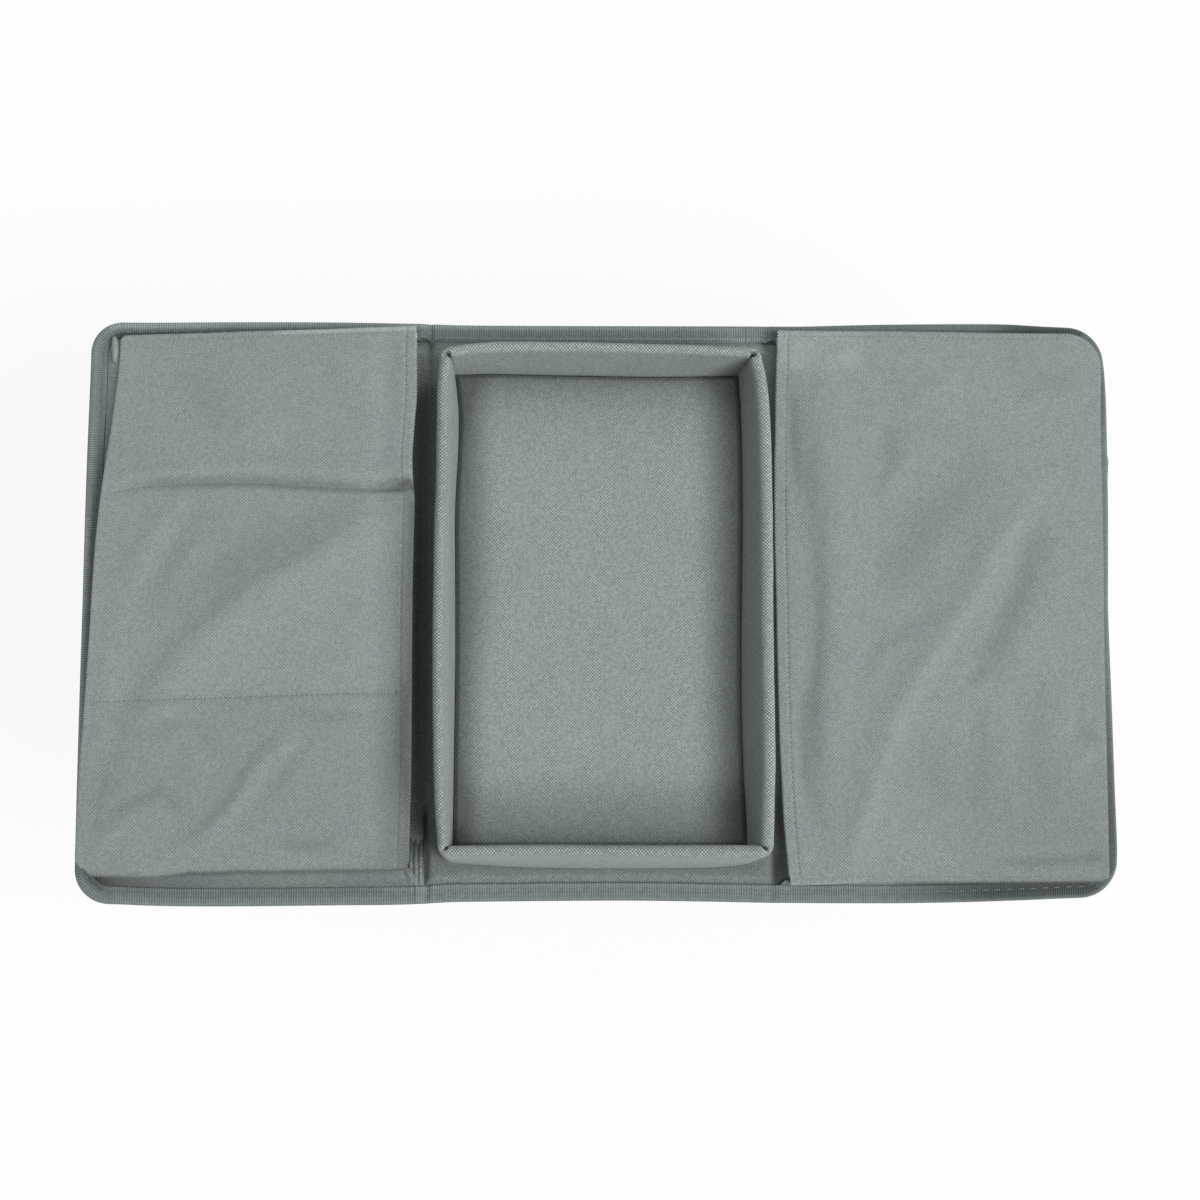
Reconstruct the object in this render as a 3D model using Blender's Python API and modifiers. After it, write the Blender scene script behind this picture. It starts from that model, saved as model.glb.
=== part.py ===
"""Fabric armrest caddy: a folding mat with a padded tray and bellows pockets.

Three stiffened cloth panels lie side by side and are bound with folded tape.
The centre panel rests on the arm and carries a tray with four padded walls.
Each wing folds down over one side of the arm. The left wing has a tall bellows
pocket that two cloth dividers part into three, and the right wing has one wide
flat pocket. Both open towards the tray.

Metres, +Z up, +X towards the right wing, +Y towards the rear edge. The origin
lies under the middle of the mat, on the surface that the mat is laid on.
"""

import bmesh
import bpy
from math import atan2, cos, pi, radians, sin, tan

# Mat outline
overall_width = 0.560
wing_depth = 0.3218
centre_depth = 0.3186
depth_taper_run = 0.032
corner_radius = 0.020
least_corner_radius = 0.002

# Cloth, boards, tape and the room between them
cloth = 0.0008
board_thickness = 0.0030
tape_thickness = 0.0007
tape_flange = 0.0094
clearance = 0.0003
ramp_run = 0.0030
fold_border = 0.0010
fold_gap = 0.0004
fold_splay = radians(8)

# Tray
tray_inner_width = 0.156
tray_inner_depth = 0.261
tray_height = 0.0315
tray_wall_thickness = 0.0078
tray_lean_left = 0.0022
tray_lean_right = 0.0070
tray_lean_front = 0.0015
tray_lean_rear = 0.0003
rim_bow = 0.0015
floor_board_thickness = 0.0015
floor_slope_run = 0.0025

# Pockets, both wings
hem_width = 0.0080
hem_radius = 0.0007
hem_end = 0.0030
bellows_share = 0.12
divider_shares = (0.312, 0.696)

# Left pocket face: distances in from the fold and the bound edges, and rises above the mat
left_mouth_front = 0.0083
left_mouth_rear = 0.0053
left_margin_front = 0.0160
left_margin_rear = 0.0080
left_margin_outer_front = 0.0045
left_margin_outer_rear = 0.0160
left_rise_mouth_front = 0.0228
left_rise_mouth_rear = 0.0198
left_rise_outer_front = 0.0215
left_rise_outer_rear = 0.0042
left_corner_front = 0.0120
left_corner_rear = 0.0030
left_crown = 0.0020
left_seam_dip = 0.0016
left_valley_share = 0.06

# Right pocket face
right_mouth_front = 0.0083
right_mouth_rear = 0.0046
right_margin_front = 0.0098
right_margin_rear = 0.0080
right_margin_outer_front = 0.0085
right_margin_outer_rear = 0.0045
right_rise_mouth_front = 0.0078
right_rise_mouth_rear = 0.0078
right_rise_outer_front = 0.0080
right_rise_outer_rear = 0.0070
right_corner_front = 0.0040
right_corner_rear = 0.0190
right_crown = 0.0020

# Facets of round and curved stretches
corner_steps = 8
bend_steps = 6
rim_steps = 8
wall_steps = 10
hem_steps = 4
face_corner_steps = 3
face_steps_across = 11
face_steps_along = 5

# Sizes that follow from the ones above
panel_width = overall_width / 3
fold_x = panel_width / 2
outer_x = overall_width / 2

# Levels: mid-surfaces of the layers, in the thin border under the tape and in the middle
tape_low = tape_thickness / 2
backing_border = tape_thickness + clearance + cloth / 2
cover_border = backing_border + cloth + clearance
gusset_flange = cover_border + cloth + clearance
tape_top_centre = cover_border + cloth / 2 + clearance + tape_thickness / 2
tape_top_wing = gusset_flange + cloth / 2 + clearance + tape_thickness / 2
backing_level = cloth / 2
board_level = cloth + clearance + board_thickness / 2
cover_level = cloth + clearance + board_thickness + clearance + cloth / 2
cover_top = cover_level + cloth / 2

# Distances in from the bound edge
gusset_inset = tape_flange + clearance + cloth / 2
backing_ramp = tape_flange + clearance
cover_ramp = gusset_inset + cloth / 2 + clearance
board_inset = cover_ramp + ramp_run + clearance

# Tray levels
tray_base = cover_top + clearance
rim_level = tray_base + tray_height
floor_board_level = tray_base + floor_board_thickness / 2
floor_cover_level = tray_base + floor_board_thickness + clearance + cloth / 2
mitre_gap = cloth / 2 + clearance
seam_gap = cloth + clearance

left_pocket = {
    "side": -1,
    "mouth": (left_mouth_front, left_mouth_rear),
    "margin": (left_margin_front, left_margin_rear),
    "outer": (left_margin_outer_front, left_margin_outer_rear),
    "rise_mouth": (left_rise_mouth_front, left_rise_mouth_rear),
    "rise_outer": (left_rise_outer_front, left_rise_outer_rear),
    "corner": (left_corner_front, left_corner_rear),
    "crown": left_crown,
    "seams": divider_shares,
    "seam_dip": left_seam_dip,
    "valley_share": left_valley_share,
}
right_pocket = {
    "side": 1,
    "mouth": (right_mouth_front, right_mouth_rear),
    "margin": (right_margin_front, right_margin_rear),
    "outer": (right_margin_outer_front, right_margin_outer_rear),
    "rise_mouth": (right_rise_mouth_front, right_rise_mouth_rear),
    "rise_outer": (right_rise_outer_front, right_rise_outer_rear),
    "corner": (right_corner_front, right_corner_rear),
    "crown": right_crown,
    "seams": (),
    "seam_dip": 0,
    "valley_share": left_valley_share,
}
tray_leans = {
    "left": tray_lean_left,
    "right": tray_lean_right,
    "front": tray_lean_front,
    "rear": tray_lean_rear,
}

# Colours as Blender's linear values: colour, roughness
finishes = {
    "cover_cloth": ((0.262, 0.302, 0.287), 0.85),
    "tray_cloth": ((0.262, 0.302, 0.287), 0.85),
    "pocket_cloth": ((0.262, 0.302, 0.287), 0.85),
    "gusset_cloth": ((0.205, 0.238, 0.228), 0.88),
    "binding_tape": ((0.165, 0.198, 0.194), 0.80),
    "grip_cloth": ((0.075, 0.084, 0.084), 0.70),
    "board": ((0.360, 0.360, 0.350), 0.55),
    "foam": ((0.520, 0.520, 0.500), 0.95),
}


def clear_scene():
    for thing in list(bpy.data.objects):
        bpy.data.objects.remove(thing, do_unlink=True)


def own_material(name, finish):
    colour, roughness = finishes[finish]
    material = bpy.data.materials.new(name)
    material.use_nodes = True
    shader = material.node_tree.nodes["Principled BSDF"]
    shader.inputs["Base Color"].default_value = (*colour, 1)
    shader.inputs["Roughness"].default_value = roughness
    shader.inputs["Metallic"].default_value = 0
    return material


def add_piece(name, shape, finish, parent):
    """Turn a bmesh into a named object of the assembly, under its body's empty."""
    bmesh.ops.recalc_face_normals(shape, faces=shape.faces)
    mesh = bpy.data.meshes.new(name)
    shape.to_mesh(mesh)
    shape.free()
    piece = bpy.data.objects.new(name, mesh)
    mesh.materials.append(own_material(name, finish))
    parts.objects.link(piece)
    piece.location = [-value for value in parent.location]
    piece.parent = parent
    mesh.shade_smooth()
    mesh.set_sharp_from_angle(angle=radians(35))
    return piece


def thicken(piece, thickness):
    """Give a sheet its thickness, half to each side of the surface it was drawn as."""
    solidify = piece.modifiers.new("thickness", "SOLIDIFY")
    solidify.thickness = thickness
    solidify.offset = 0
    solidify.use_even_offset = True
    return piece


def loft(rows, closed_rows=False, cap_first=False, cap_last=False):
    """Join rows of points, of one length, into a surface."""
    shape = bmesh.new()
    lines = [[shape.verts.new(point) for point in row] for row in rows]
    count = len(rows[0])
    for low, high in zip(lines, lines[1:]):
        for start in range(count if closed_rows else count - 1):
            end = (start + 1) % count
            shape.faces.new((low[start], low[end], high[end], high[start]))
    if cap_first:
        shape.faces.new(lines[0])
    if cap_last:
        shape.faces.new(lines[-1])
    return shape


def mix(start, end, share):
    return start + (end - start) * share


def spread(start, end, steps):
    return [mix(start, end, step / steps) for step in range(steps + 1)]


def fold_inset(level):
    """How far a panel's edge stands back from the fold line, so that the wing can tip up."""
    return fold_gap / 2 + level * tan(fold_splay)


def edge_half_depth(out):
    """Half the mat's depth at a distance from its middle: the wings are a little deeper."""
    share = min(max((out - fold_x) / depth_taper_run, 0), 1)
    return mix(centre_depth, wing_depth, share) / 2


# Outlines of the panels


def centre_ring(edge_inset, fold_side_inset, level):
    x = fold_x - fold_side_inset
    y = centre_depth / 2 - edge_inset
    return [(-x, -y, level), (x, -y, level), (x, y, level), (-x, y, level)]


def wing_ring(side, edge_inset, fold_side_inset, level):
    """A wing's outline from its fold round the outer edge and back, drawn in from the edges."""
    fold = fold_x + fold_side_inset
    taper = fold_x + depth_taper_run
    radius = max(corner_radius - edge_inset, least_corner_radius)
    corner_x = outer_x - edge_inset - radius
    corner_y = wing_depth / 2 - edge_inset - radius
    front = [
        (fold, edge_inset - edge_half_depth(fold)),
        (taper, edge_inset - edge_half_depth(taper)),
    ]
    for angle in spread(-pi / 2, 0, corner_steps):
        front.append((corner_x + radius * cos(angle), radius * sin(angle) - corner_y))
    rear = [(x, -y) for x, y in reversed(front)]
    return [(side * x, y, level) for x, y in front + rear]


def ring_maker(side):
    """The outline function of the centre panel, side 0, or of a wing."""
    if side == 0:
        return centre_ring
    return lambda edge, fold, level: wing_ring(side, edge, fold, level)


# Panels


def border_inset(side):
    """Where the layers end inside the fold of the tape."""
    top = tape_top_wing if side else tape_top_centre
    return tape_thickness / 2 + (top - tape_low) / 2


def add_panel_sheet(name, side, border, middle, ramp, finish, parent):
    """A cloth layer that is pinched thin under the tape and at the fold."""
    ring = ring_maker(side)
    fold = fold_inset(border + cloth / 2)
    rows = [
        ring(border_inset(side), fold, border),
        ring(ramp, fold + fold_border, border),
        ring(ramp + ramp_run, fold + fold_border + ramp_run, middle),
    ]
    shape = loft(rows, closed_rows=True, cap_last=True)
    return thicken(add_piece(name, shape, finish, parent), cloth)


def add_panel_board(name, side, parent):
    """The stiffener, which fills the panel short of its pinched edges."""
    fold = fold_inset(cover_top) + fold_border + ramp_run + clearance
    shape = bmesh.new()
    shape.faces.new([shape.verts.new(p) for p in ring_maker(side)(board_inset, fold, board_level)])
    return thicken(add_piece(name, shape, "board", parent), board_thickness)


def tape_section(top):
    """The folded tape's mid-line from its upper to its lower edge, as distance in and level."""
    bend = (top - tape_low) / 2
    middle = (top + tape_low) / 2
    turn = []
    for angle in spread(pi / 2, -pi / 2, bend_steps):
        turn.append((tape_thickness / 2 + bend * (1 - cos(angle)), middle + bend * sin(angle)))
    return [(tape_flange, top)] + turn + [(tape_flange, tape_low)]


def add_wing_binding(name, side, parent):
    rows = [wing_ring(side, inset, fold_inset(level), level) for inset, level in tape_section(tape_top_wing)]
    return thicken(add_piece(name, loft(rows), "binding_tape", parent), tape_thickness)


def add_centre_binding(name, end, parent):
    rows = []
    for inset, level in tape_section(tape_top_centre):
        x = fold_x - fold_inset(level)
        y = end * (centre_depth / 2 - inset)
        rows.append([(-x, y, level), (x, y, level)])
    return thicken(add_piece(name, loft(rows), "binding_tape", parent), tape_thickness)


# Tray


def tray_half(side):
    return (tray_inner_width if side in ("left", "right") else tray_inner_depth) / 2


def wall_point(side, along, through, level):
    """A point of a tray wall: along -1 to 1 between its mitres, through it from the inner face."""
    rise = (level - tray_base) / tray_height
    own = tray_half(side) + through + rise * (tray_leans[side] + rim_bow * (1 - along ** 2))
    low, high = ("front", "rear") if side in ("left", "right") else ("left", "right")
    reach_low = tray_half(low) + through + rise * tray_leans[low] - mitre_gap
    reach_high = tray_half(high) + through + rise * tray_leans[high] - mitre_gap
    across = mix(-reach_low, reach_high, (along + 1) / 2)
    if side == "left":
        return (-own, across, level)
    if side == "right":
        return (own, across, level)
    if side == "front":
        return (across, -own, level)
    return (across, own, level)


def wall_section(skin):
    """An arch-shaped section as distance through the wall and level, a skin in from its outside."""
    radius = tray_wall_thickness / 2 - skin
    spring = rim_level - tray_wall_thickness / 2
    arch = []
    for angle in spread(pi, 0, rim_steps):
        arch.append((tray_wall_thickness / 2 + radius * cos(angle), spring + radius * sin(angle)))
    return [(skin, tray_base)] + arch + [(tray_wall_thickness - skin, tray_base)]


def wall_rows(side, skin):
    rows = []
    for along in spread(-1, 1, wall_steps):
        rows.append([wall_point(side, along, through, level) for through, level in wall_section(skin)])
    return rows


def add_tray_wall(side, parent):
    sleeve = add_piece(f"tray_wall_{side}", loft(wall_rows(side, cloth / 2)), "tray_cloth", parent)
    thicken(sleeve, cloth)
    core = loft(wall_rows(side, cloth + clearance), closed_rows=True, cap_first=True, cap_last=True)
    add_piece(f"tray_wall_{side}_core", core, "foam", parent)


def floor_ring(inset, level):
    x = tray_inner_width / 2 - inset
    y = tray_inner_depth / 2 - inset
    return [(-x, -y, level), (x, -y, level), (x, y, level), (-x, y, level)]


def add_tray_floor(parent):
    slope_end = clearance + floor_slope_run
    board = bmesh.new()
    outline = floor_ring(slope_end + cloth + clearance, floor_board_level)
    board.faces.new([board.verts.new(point) for point in outline])
    thicken(add_piece("tray_floor_board", board, "board", parent), floor_board_thickness)
    rows = [
        floor_ring(clearance, tray_base + cloth / 2),
        floor_ring(slope_end, floor_cover_level),
    ]
    cover = loft(rows, closed_rows=True, cap_last=True)
    thicken(add_piece("tray_floor_cover", cover, "tray_cloth", parent), cloth)


# Pockets: u runs from the outer edge, 0, to the mouth, 1, and v from the front, 0, to the rear, 1


def quad_point(mouth, outer, front, rear, u, v):
    """A point of a four-sided plan with its own sizes at the front and the rear."""
    out = mix(mix(outer[0], outer[1], v), mix(mouth[0], mouth[1], v), u)
    return out, mix(-front, rear, v)


def plan_lengths(pocket):
    across = panel_width - pocket["mouth"][0] - pocket["outer"][0]
    along = wing_depth - sum(pocket["margin"])
    return across, along


def soften(pocket, u, v, radii):
    """Move a point of the square plan so that its two outer corners become round."""
    across, along = plan_lengths(pocket)
    for rear, radius in enumerate(radii):
        s = u * across
        t = (1 - v if rear else v) * along
        if radius <= 0 or s >= radius or t >= radius:
            continue
        a, b = radius - s, radius - t
        reach = max(a, b)
        angle = atan2(1, 1) * min(a, b) / reach
        near, far = reach * sin(angle), reach * cos(angle)
        s, t = (radius - far, radius - near) if a >= b else (radius - near, radius - far)
        u, v = s / across, t / along
        if rear:
            v = 1 - v
    return u, v


def compartment_share(pocket, v):
    """How far v lies across its own compartment, from 0 to 1."""
    limits = [0, *pocket["seams"], 1]
    for low, high in zip(limits, limits[1:]):
        if v <= high:
            return (v - low) / (high - low)
    return 1


def face_point(pocket, u, v, drop=0):
    """A point of the pocket face's mid-surface, or that far below it."""
    u, v = soften(pocket, u, v, pocket["corner"])
    outer = [outer_x - margin for margin in pocket["outer"]]
    mouth = [fold_x + setback for setback in pocket["mouth"]]
    front, rear = [wing_depth / 2 - margin for margin in pocket["margin"]]
    out, y = quad_point(mouth, outer, front, rear, u, v)
    rise = mix(mix(*pocket["rise_outer"], v), mix(*pocket["rise_mouth"], v), u)
    share = compartment_share(pocket, v)
    swell = pocket["crown"] * sin(pi * u) * 4 * share * (1 - share)
    dip = 0
    for seam in pocket["seams"]:
        dip += pocket["seam_dip"] * max(1 - abs(v - seam) / pocket["valley_share"], 0)
    level = cover_top + rise + swell - dip - cloth / 2 - drop
    return (pocket["side"] * out, y, level)


def base_point(pocket, u, v, inset, level):
    """A point on the mat under the face's edge, at a distance in from the bound edge."""
    radius = max(corner_radius - inset, least_corner_radius)
    u, v = soften(pocket, u, v, (radius, radius))
    outer = (outer_x - inset, outer_x - inset)
    mouth = [fold_x + setback for setback in pocket["mouth"]]
    out, y = quad_point(mouth, outer, 1, 1, u, v)
    return (pocket["side"] * out, y * (edge_half_depth(out) - inset), level)


def stations_across(pocket):
    """u at the face's columns, closer together round the outer corners."""
    across, _ = plan_lengths(pocket)
    corner = corner_radius / across
    return spread(0, corner, face_corner_steps) + spread(corner, 1, face_steps_across)[1:]


def stations_along(pocket):
    """v at the face's rows, with one on each divider seam."""
    _, along = plan_lengths(pocket)
    corner = corner_radius / along
    limits = [corner, *pocket["seams"], 1 - corner]
    rows = spread(0, corner, face_corner_steps)
    for low, high in zip(limits, limits[1:]):
        rows += spread(low, high, max(round(face_steps_along * 3 / (len(limits) - 1)), 1))[1:]
    return rows + spread(1 - corner, 1, face_corner_steps)[1:]


def hem_rows(pocket, along):
    """The cloth turned under at the mouth: round the fold, then back under the face."""
    across, length = plan_lengths(pocket)
    end = hem_end / length
    shares = [mix(end, 1 - end, v) for v in along]
    rows = []
    for angle in spread(0, pi, hem_steps)[1:]:
        row = []
        for v in shares:
            x, y, level = face_point(pocket, 1, v)
            x -= pocket["side"] * hem_radius * sin(angle)
            row.append((x, y, level - hem_radius * (1 - cos(angle))))
        rows.append(row)
    rows.append([face_point(pocket, 1 - hem_width / across, v, 2 * hem_radius) for v in shares])
    return rows


def add_pocket_face(name, pocket, parent):
    along = stations_along(pocket)
    rows = [[face_point(pocket, u, v) for v in along] for u in stations_across(pocket)]
    rows += hem_rows(pocket, along)
    return thicken(add_piece(name, loft(rows), "pocket_cloth", parent), cloth)


def inward(point, edge, distance):
    """Move a point of the face's edge in plan, towards a point further inside."""
    dx, dy = edge[0] - point[0], edge[1] - point[1]
    length = (dx * dx + dy * dy) ** 0.5
    return point[0] + dx / length * distance, point[1] + dy / length * distance


def gusset_column(pocket, u, v):
    """The bellows strip's section under one point of the face's edge, from flange to top."""
    flange_end = base_point(pocket, u, v, border_inset(pocket["side"]), gusset_flange)
    bend = base_point(pocket, u, v, gusset_inset, gusset_flange)
    foot_level = tape_top_wing + tape_thickness / 2 + clearance
    foot = (bend[0], bend[1], foot_level)
    edge = face_point(pocket, u, v)
    across, along = plan_lengths(pocket)
    inner_v = min(max(v, corner_radius / along), 1 - corner_radius / along)
    inside = face_point(pocket, max(u, corner_radius / across), inner_v)
    top_x, top_y = inward(edge, inside, cloth / 2)
    top_level = edge[2] - cloth / 2 - clearance
    collar = top_level - cloth
    fold_depth = bellows_share * (collar - foot_level)
    fold_x_y = inward((mix(foot[0], top_x, 1 / 2), mix(foot[1], top_y, 1 / 2)), inside, fold_depth)
    return [
        flange_end,
        bend,
        foot,
        (*fold_x_y, mix(foot_level, collar, 1 / 2)),
        (top_x, top_y, collar),
        (top_x, top_y, top_level),
    ]


def add_gussets(prefix, pocket, parent):
    """Three strips round the face that nearly meet at its corners."""
    across, along = plan_lengths(pocket)
    gap_u, gap_v = seam_gap / across, seam_gap / along
    us = [max(u, gap_u) for u in stations_across(pocket)]
    vs = [min(max(v, gap_v), 1 - gap_v) for v in stations_along(pocket)]
    runs = {
        "rear": [(u, 1) for u in us],
        "side": [(0, v) for v in vs],
        "front": [(u, 0) for u in us],
    }
    for place, stations in runs.items():
        rows = [gusset_column(pocket, u, v) for u, v in stations]
        thicken(add_piece(f"{prefix}_gusset_{place}", loft(rows), "gusset_cloth", parent), cloth)


def add_divider(name, pocket, seam, parent):
    """A cloth wall under a seam, from beside the outer gusset to behind the hem."""
    across, along = plan_lengths(pocket)
    bottom = cover_top + clearance
    column = gusset_column(pocket, 0, seam)
    innermost = min(abs(point[0]) for point in column) - cloth / 2 - clearance
    outer = abs(face_point(pocket, 0, seam)[0])
    start = (outer - innermost) / across
    end = 1 - (hem_width + hem_radius) / across
    rows = []
    for u in spread(start, end, face_steps_across):
        x, y, top = face_point(pocket, u, seam, cloth / 2 + clearance)
        rows.append([(x, y, bottom), (x, y, top)])
    return thicken(add_piece(name, loft(rows), "gusset_cloth", parent), cloth)


def add_body(name, x):
    """An empty on the body's fold line, which carries its pieces."""
    body = bpy.data.objects.new(name, None)
    body.location = (x, 0, 0)
    parts.objects.link(body)
    return body


def add_panel(prefix, side, body):
    add_panel_sheet(f"{prefix}_backing", side, backing_border, backing_level, backing_ramp, "grip_cloth", body)
    add_panel_board(f"{prefix}_board", side, body)
    add_panel_sheet(f"{prefix}_cover", side, cover_border, cover_level, cover_ramp, "cover_cloth", body)


def add_centre():
    body = add_body("center_body", 0)
    add_panel("center", 0, body)
    add_centre_binding("center_binding_front", -1, body)
    add_centre_binding("center_binding_rear", 1, body)
    add_tray_floor(body)
    for side in tray_leans:
        add_tray_wall(side, body)


def add_wing(prefix, pocket):
    side = pocket["side"]
    body = add_body(f"{prefix}_wing_body", side * fold_x)
    add_panel(prefix, side, body)
    add_wing_binding(f"{prefix}_binding", side, body)
    add_pocket_face(f"{prefix}_pocket_face", pocket, body)
    add_gussets(prefix, pocket, body)
    for place, seam in zip(("front", "rear"), pocket["seams"]):
        add_divider(f"{prefix}_divider_{place}", pocket, seam, body)


clear_scene()
parts = bpy.data.collections.new("armrest_caddy")
bpy.context.scene.collection.children.link(parts)
add_centre()
add_wing("left", left_pocket)
add_wing("right", right_pocket)
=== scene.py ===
"""Looks of the armrest caddy: woven cloth, ribbed tape, padded tray walls, folds and stitching.

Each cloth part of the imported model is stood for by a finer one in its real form:
covers and tape that run on across the two creases, tray walls that turn their
corners in one padded ring, and pocket faces with hems, seams and soft folds.
The boards stay as the model has them. Metres, in the model's own frame.
"""

from math import atan2, cos, hypot, pi, radians, sin

import bmesh
import bpy
from mathutils import Matrix, Vector, noise


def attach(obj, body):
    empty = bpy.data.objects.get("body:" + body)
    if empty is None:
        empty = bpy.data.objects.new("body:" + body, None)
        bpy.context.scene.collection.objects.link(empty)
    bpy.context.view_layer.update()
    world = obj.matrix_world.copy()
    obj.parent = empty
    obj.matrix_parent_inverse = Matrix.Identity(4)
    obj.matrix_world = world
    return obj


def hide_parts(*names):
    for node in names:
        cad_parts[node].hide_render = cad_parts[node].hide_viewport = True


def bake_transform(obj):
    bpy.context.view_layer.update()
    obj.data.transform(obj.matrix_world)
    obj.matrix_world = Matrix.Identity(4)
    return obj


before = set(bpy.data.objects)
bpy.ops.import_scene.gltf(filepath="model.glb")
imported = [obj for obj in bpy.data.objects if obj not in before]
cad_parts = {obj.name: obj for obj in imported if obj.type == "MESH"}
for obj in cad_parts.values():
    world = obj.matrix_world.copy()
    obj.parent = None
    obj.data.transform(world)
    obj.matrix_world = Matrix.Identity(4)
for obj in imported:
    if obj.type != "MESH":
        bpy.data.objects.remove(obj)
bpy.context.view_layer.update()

# Mat outline
overall_width = 0.560
wing_depth = 0.3218
centre_depth = 0.3186
depth_taper_run = 0.032
corner_radius = 0.020
fold_x = overall_width / 6
outer_x = overall_width / 2
piece_joint_x = 0.082
crease_x = {-1: 0.0927, 1: 0.0928}

# Where the soft mat's bound edges really run, in millimetres: (x, half depth) and (y, half width)
front_edge = (
    (-280, 160.9), (-272, 160.8), (-257, 160.9), (-241, 161.6), (-220, 162.0), (-190, 162.0), (-160, 161.7),
    (-128, 161.4), (-112, 161.3), (-97, 160.8), (-80, 159.8), (-60, 159.5), (-30, 159.2), (16, 159.0),
    (49, 159.4), (81, 160.0), (97, 160.3), (129, 160.5), (161, 160.5), (194, 160.0), (226, 159.0),
    (258, 157.7), (280, 157.4),
)
rear_edge = (
    (-280, 160.8), (-250, 160.5), (-204, 160.9), (-155, 161.0), (-123, 160.7), (-91, 160.1), (-70, 159.6),
    (0, 159.5), (86, 159.5), (104, 159.3), (119, 159.5), (135, 160.0), (160, 160.6), (199, 161.0),
    (226, 160.9), (247, 159.8), (264, 159.1), (280, 159.0),
)
left_edge = (
    (-160, 280.8), (-97, 280.8), (-47, 280.6), (0, 280.3), (52, 280.1), (85, 279.8), (110, 279.4),
    (135, 279.0), (160, 278.9),
)
right_edge = (
    (-160, 278.7), (-147, 279.0), (-130, 279.5), (-97, 279.2), (-60, 279.0), (-14, 278.6), (3, 278.6),
    (19, 279.1), (52, 280.1), (69, 280.4), (102, 280.8), (120, 280.8), (135, 280.3), (152, 278.9),
    (160, 278.7),
)

# How much fuller than an arc each corner is, in millimetres, by whether it is at the right and the rear
corner_fullness = {(False, True): 1.2, (True, True): 0.6, (False, False): 0.4, (True, False): 0.0}

# Cloth, tape and the levels of their mid-surfaces
cloth = 0.0008
thin_cloth = 0.0006
tape_thickness = 0.0007
tape_flange = 0.0094
clearance = 0.0003
tape_low = 0.00035
tape_top_centre = 0.00355
tape_top_wing = 0.00465
backing_level = 0.0004
backing_border = 0.0014
cover_level = 0.0048
cover_border = 0.0025
cover_top = 0.0052
gusset_flange = 0.0036
gusset_inset = 0.0101
ramp_start = 0.0097
ramp_run = 0.0040
crease_width = 0.0018
panel_inset = 0.0016

# Steps of the panels' and the tape's meshes, and reach and step of the closer rows at an edge's ramp,
# at the joint between two pieces and at a fold
grid_step, tape_step = 0.004, 0.0016
ramp_mesh = (ramp_run, 0.0007)
joint_mesh = (0.0003, 0.0001)
fold_mesh = (0.007, 0.0005)

# Where the mat begins to follow its soft edges at the sides and the ends, and over what length
soft_sides = (0.225, 0.045)
soft_ends = (0.110, 0.040)

# Tray
tray_inner_width = 0.156
tray_inner_depth = 0.261
tray_base = 0.0055
tray_height = 0.0315
wall_thickness = 0.0078
inner_turn = 0.0008
rim_level = tray_base + tray_height
floor_cover_level = 0.0077
rim_arch = 0.0030
mitre_pinch = 0.0012

# Along each wall, from front to rear or left to right, in millimetres: how far the rim leans outwards,
# how thick it is there, and how far the wall's foot stands out inside and outside
rim_leans = {
    "front": ((0, 3.2), (0.3, 2.5), (0.5, 2.9), (0.85, 2.8), (1, 2.9)),
    "right": (
        (0, 8.0), (0.08, 9.0), (0.17, 9.6), (0.5, 9.6), (0.72, 9.9), (0.85, 9.2), (0.925, 8.2), (0.965, 6.9),
        (1, 4.8),
    ),
    "rear": (
        (0, 3.0), (0.065, 4.6), (0.16, 6.0), (0.31, 6.3), (0.5, 6.1), (0.75, 5.1), (0.94, 3.9), (1, 3.2),
    ),
    "left": ((0, 2.4), (0.09, 4.3), (0.28, 5.6), (0.5, 5.7), (0.66, 5.1), (0.73, 4.4), (0.93, 4.0), (1, 2.8)),
}
rim_widths = {
    "front": ((0, 5.2), (0.5, 5.2), (0.7, 6.0), (0.88, 7.0), (1, 6.0)),
    "right": ((0, 6.2), (0.5, 6.1), (1, 6.0)),
    "rear": ((0, 5.4), (0.16, 5.4), (0.5, 4.6), (1, 4.9)),
    "left": ((0, 5.4), (0.5, 5.7), (1, 5.6)),
}
inner_feet = {
    "front": ((0, 0), (1, 0)),
    "right": (
        (0, 1.4), (0.07, 0.9), (0.15, -0.3), (0.3, -1.1), (0.41, -0.9), (0.57, 0), (0.64, 0.5),
        (0.75, 0.8), (0.87, 0.6), (0.95, 0), (1, -0.8),
    ),
    "rear": ((0, -0.2), (0.11, 0.2), (0.4, -0.6), (0.7, -1.2), (0.94, -0.7), (1, -0.4)),
    "left": (
        (0, 0.6), (0.3, -0.3), (0.4, -0.5), (0.6, -0.1), (0.68, 0.2), (0.75, -0.3), (0.84, -1.6),
        (0.91, -1.8), (0.95, -1.1), (1, 0.6),
    ),
}
outer_feet = {
    "front": ((0, 1.0), (0.16, 3.0), (0.3, 3.9), (0.5, 4.3), (0.85, 3.9), (0.95, 2.9), (1, 1.6)),
    "right": ((0, 0.6), (1, 0)),
    "rear": ((0, 0), (1, 0)),
    "left": ((0, 0), (1, 0)),
}

# Pocket faces, hems, edges and seams
face_crown = 0.0020
face_step = 0.0022
foot_mouth = 0.0042
hem_width = 0.0080
hem_radius = 0.0008
hem_end = 0.0030
hem_stitch = 0.0051
edge_roll = 0.0009
edge_roll_length = 0.0021
edge_stitch = 0.0021
bellows_share = 0.12

# Thread
thread_radius = 0.00026
tape_stitch_inset = 0.0060
thread_sides = 6

# Pitch and length of the stitches
tape_stitch = (0.0064, 0.0034)
seam_stitch = (0.0027, 0.0019)
tack_stitch = (0.0026, 0.0026)

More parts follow.
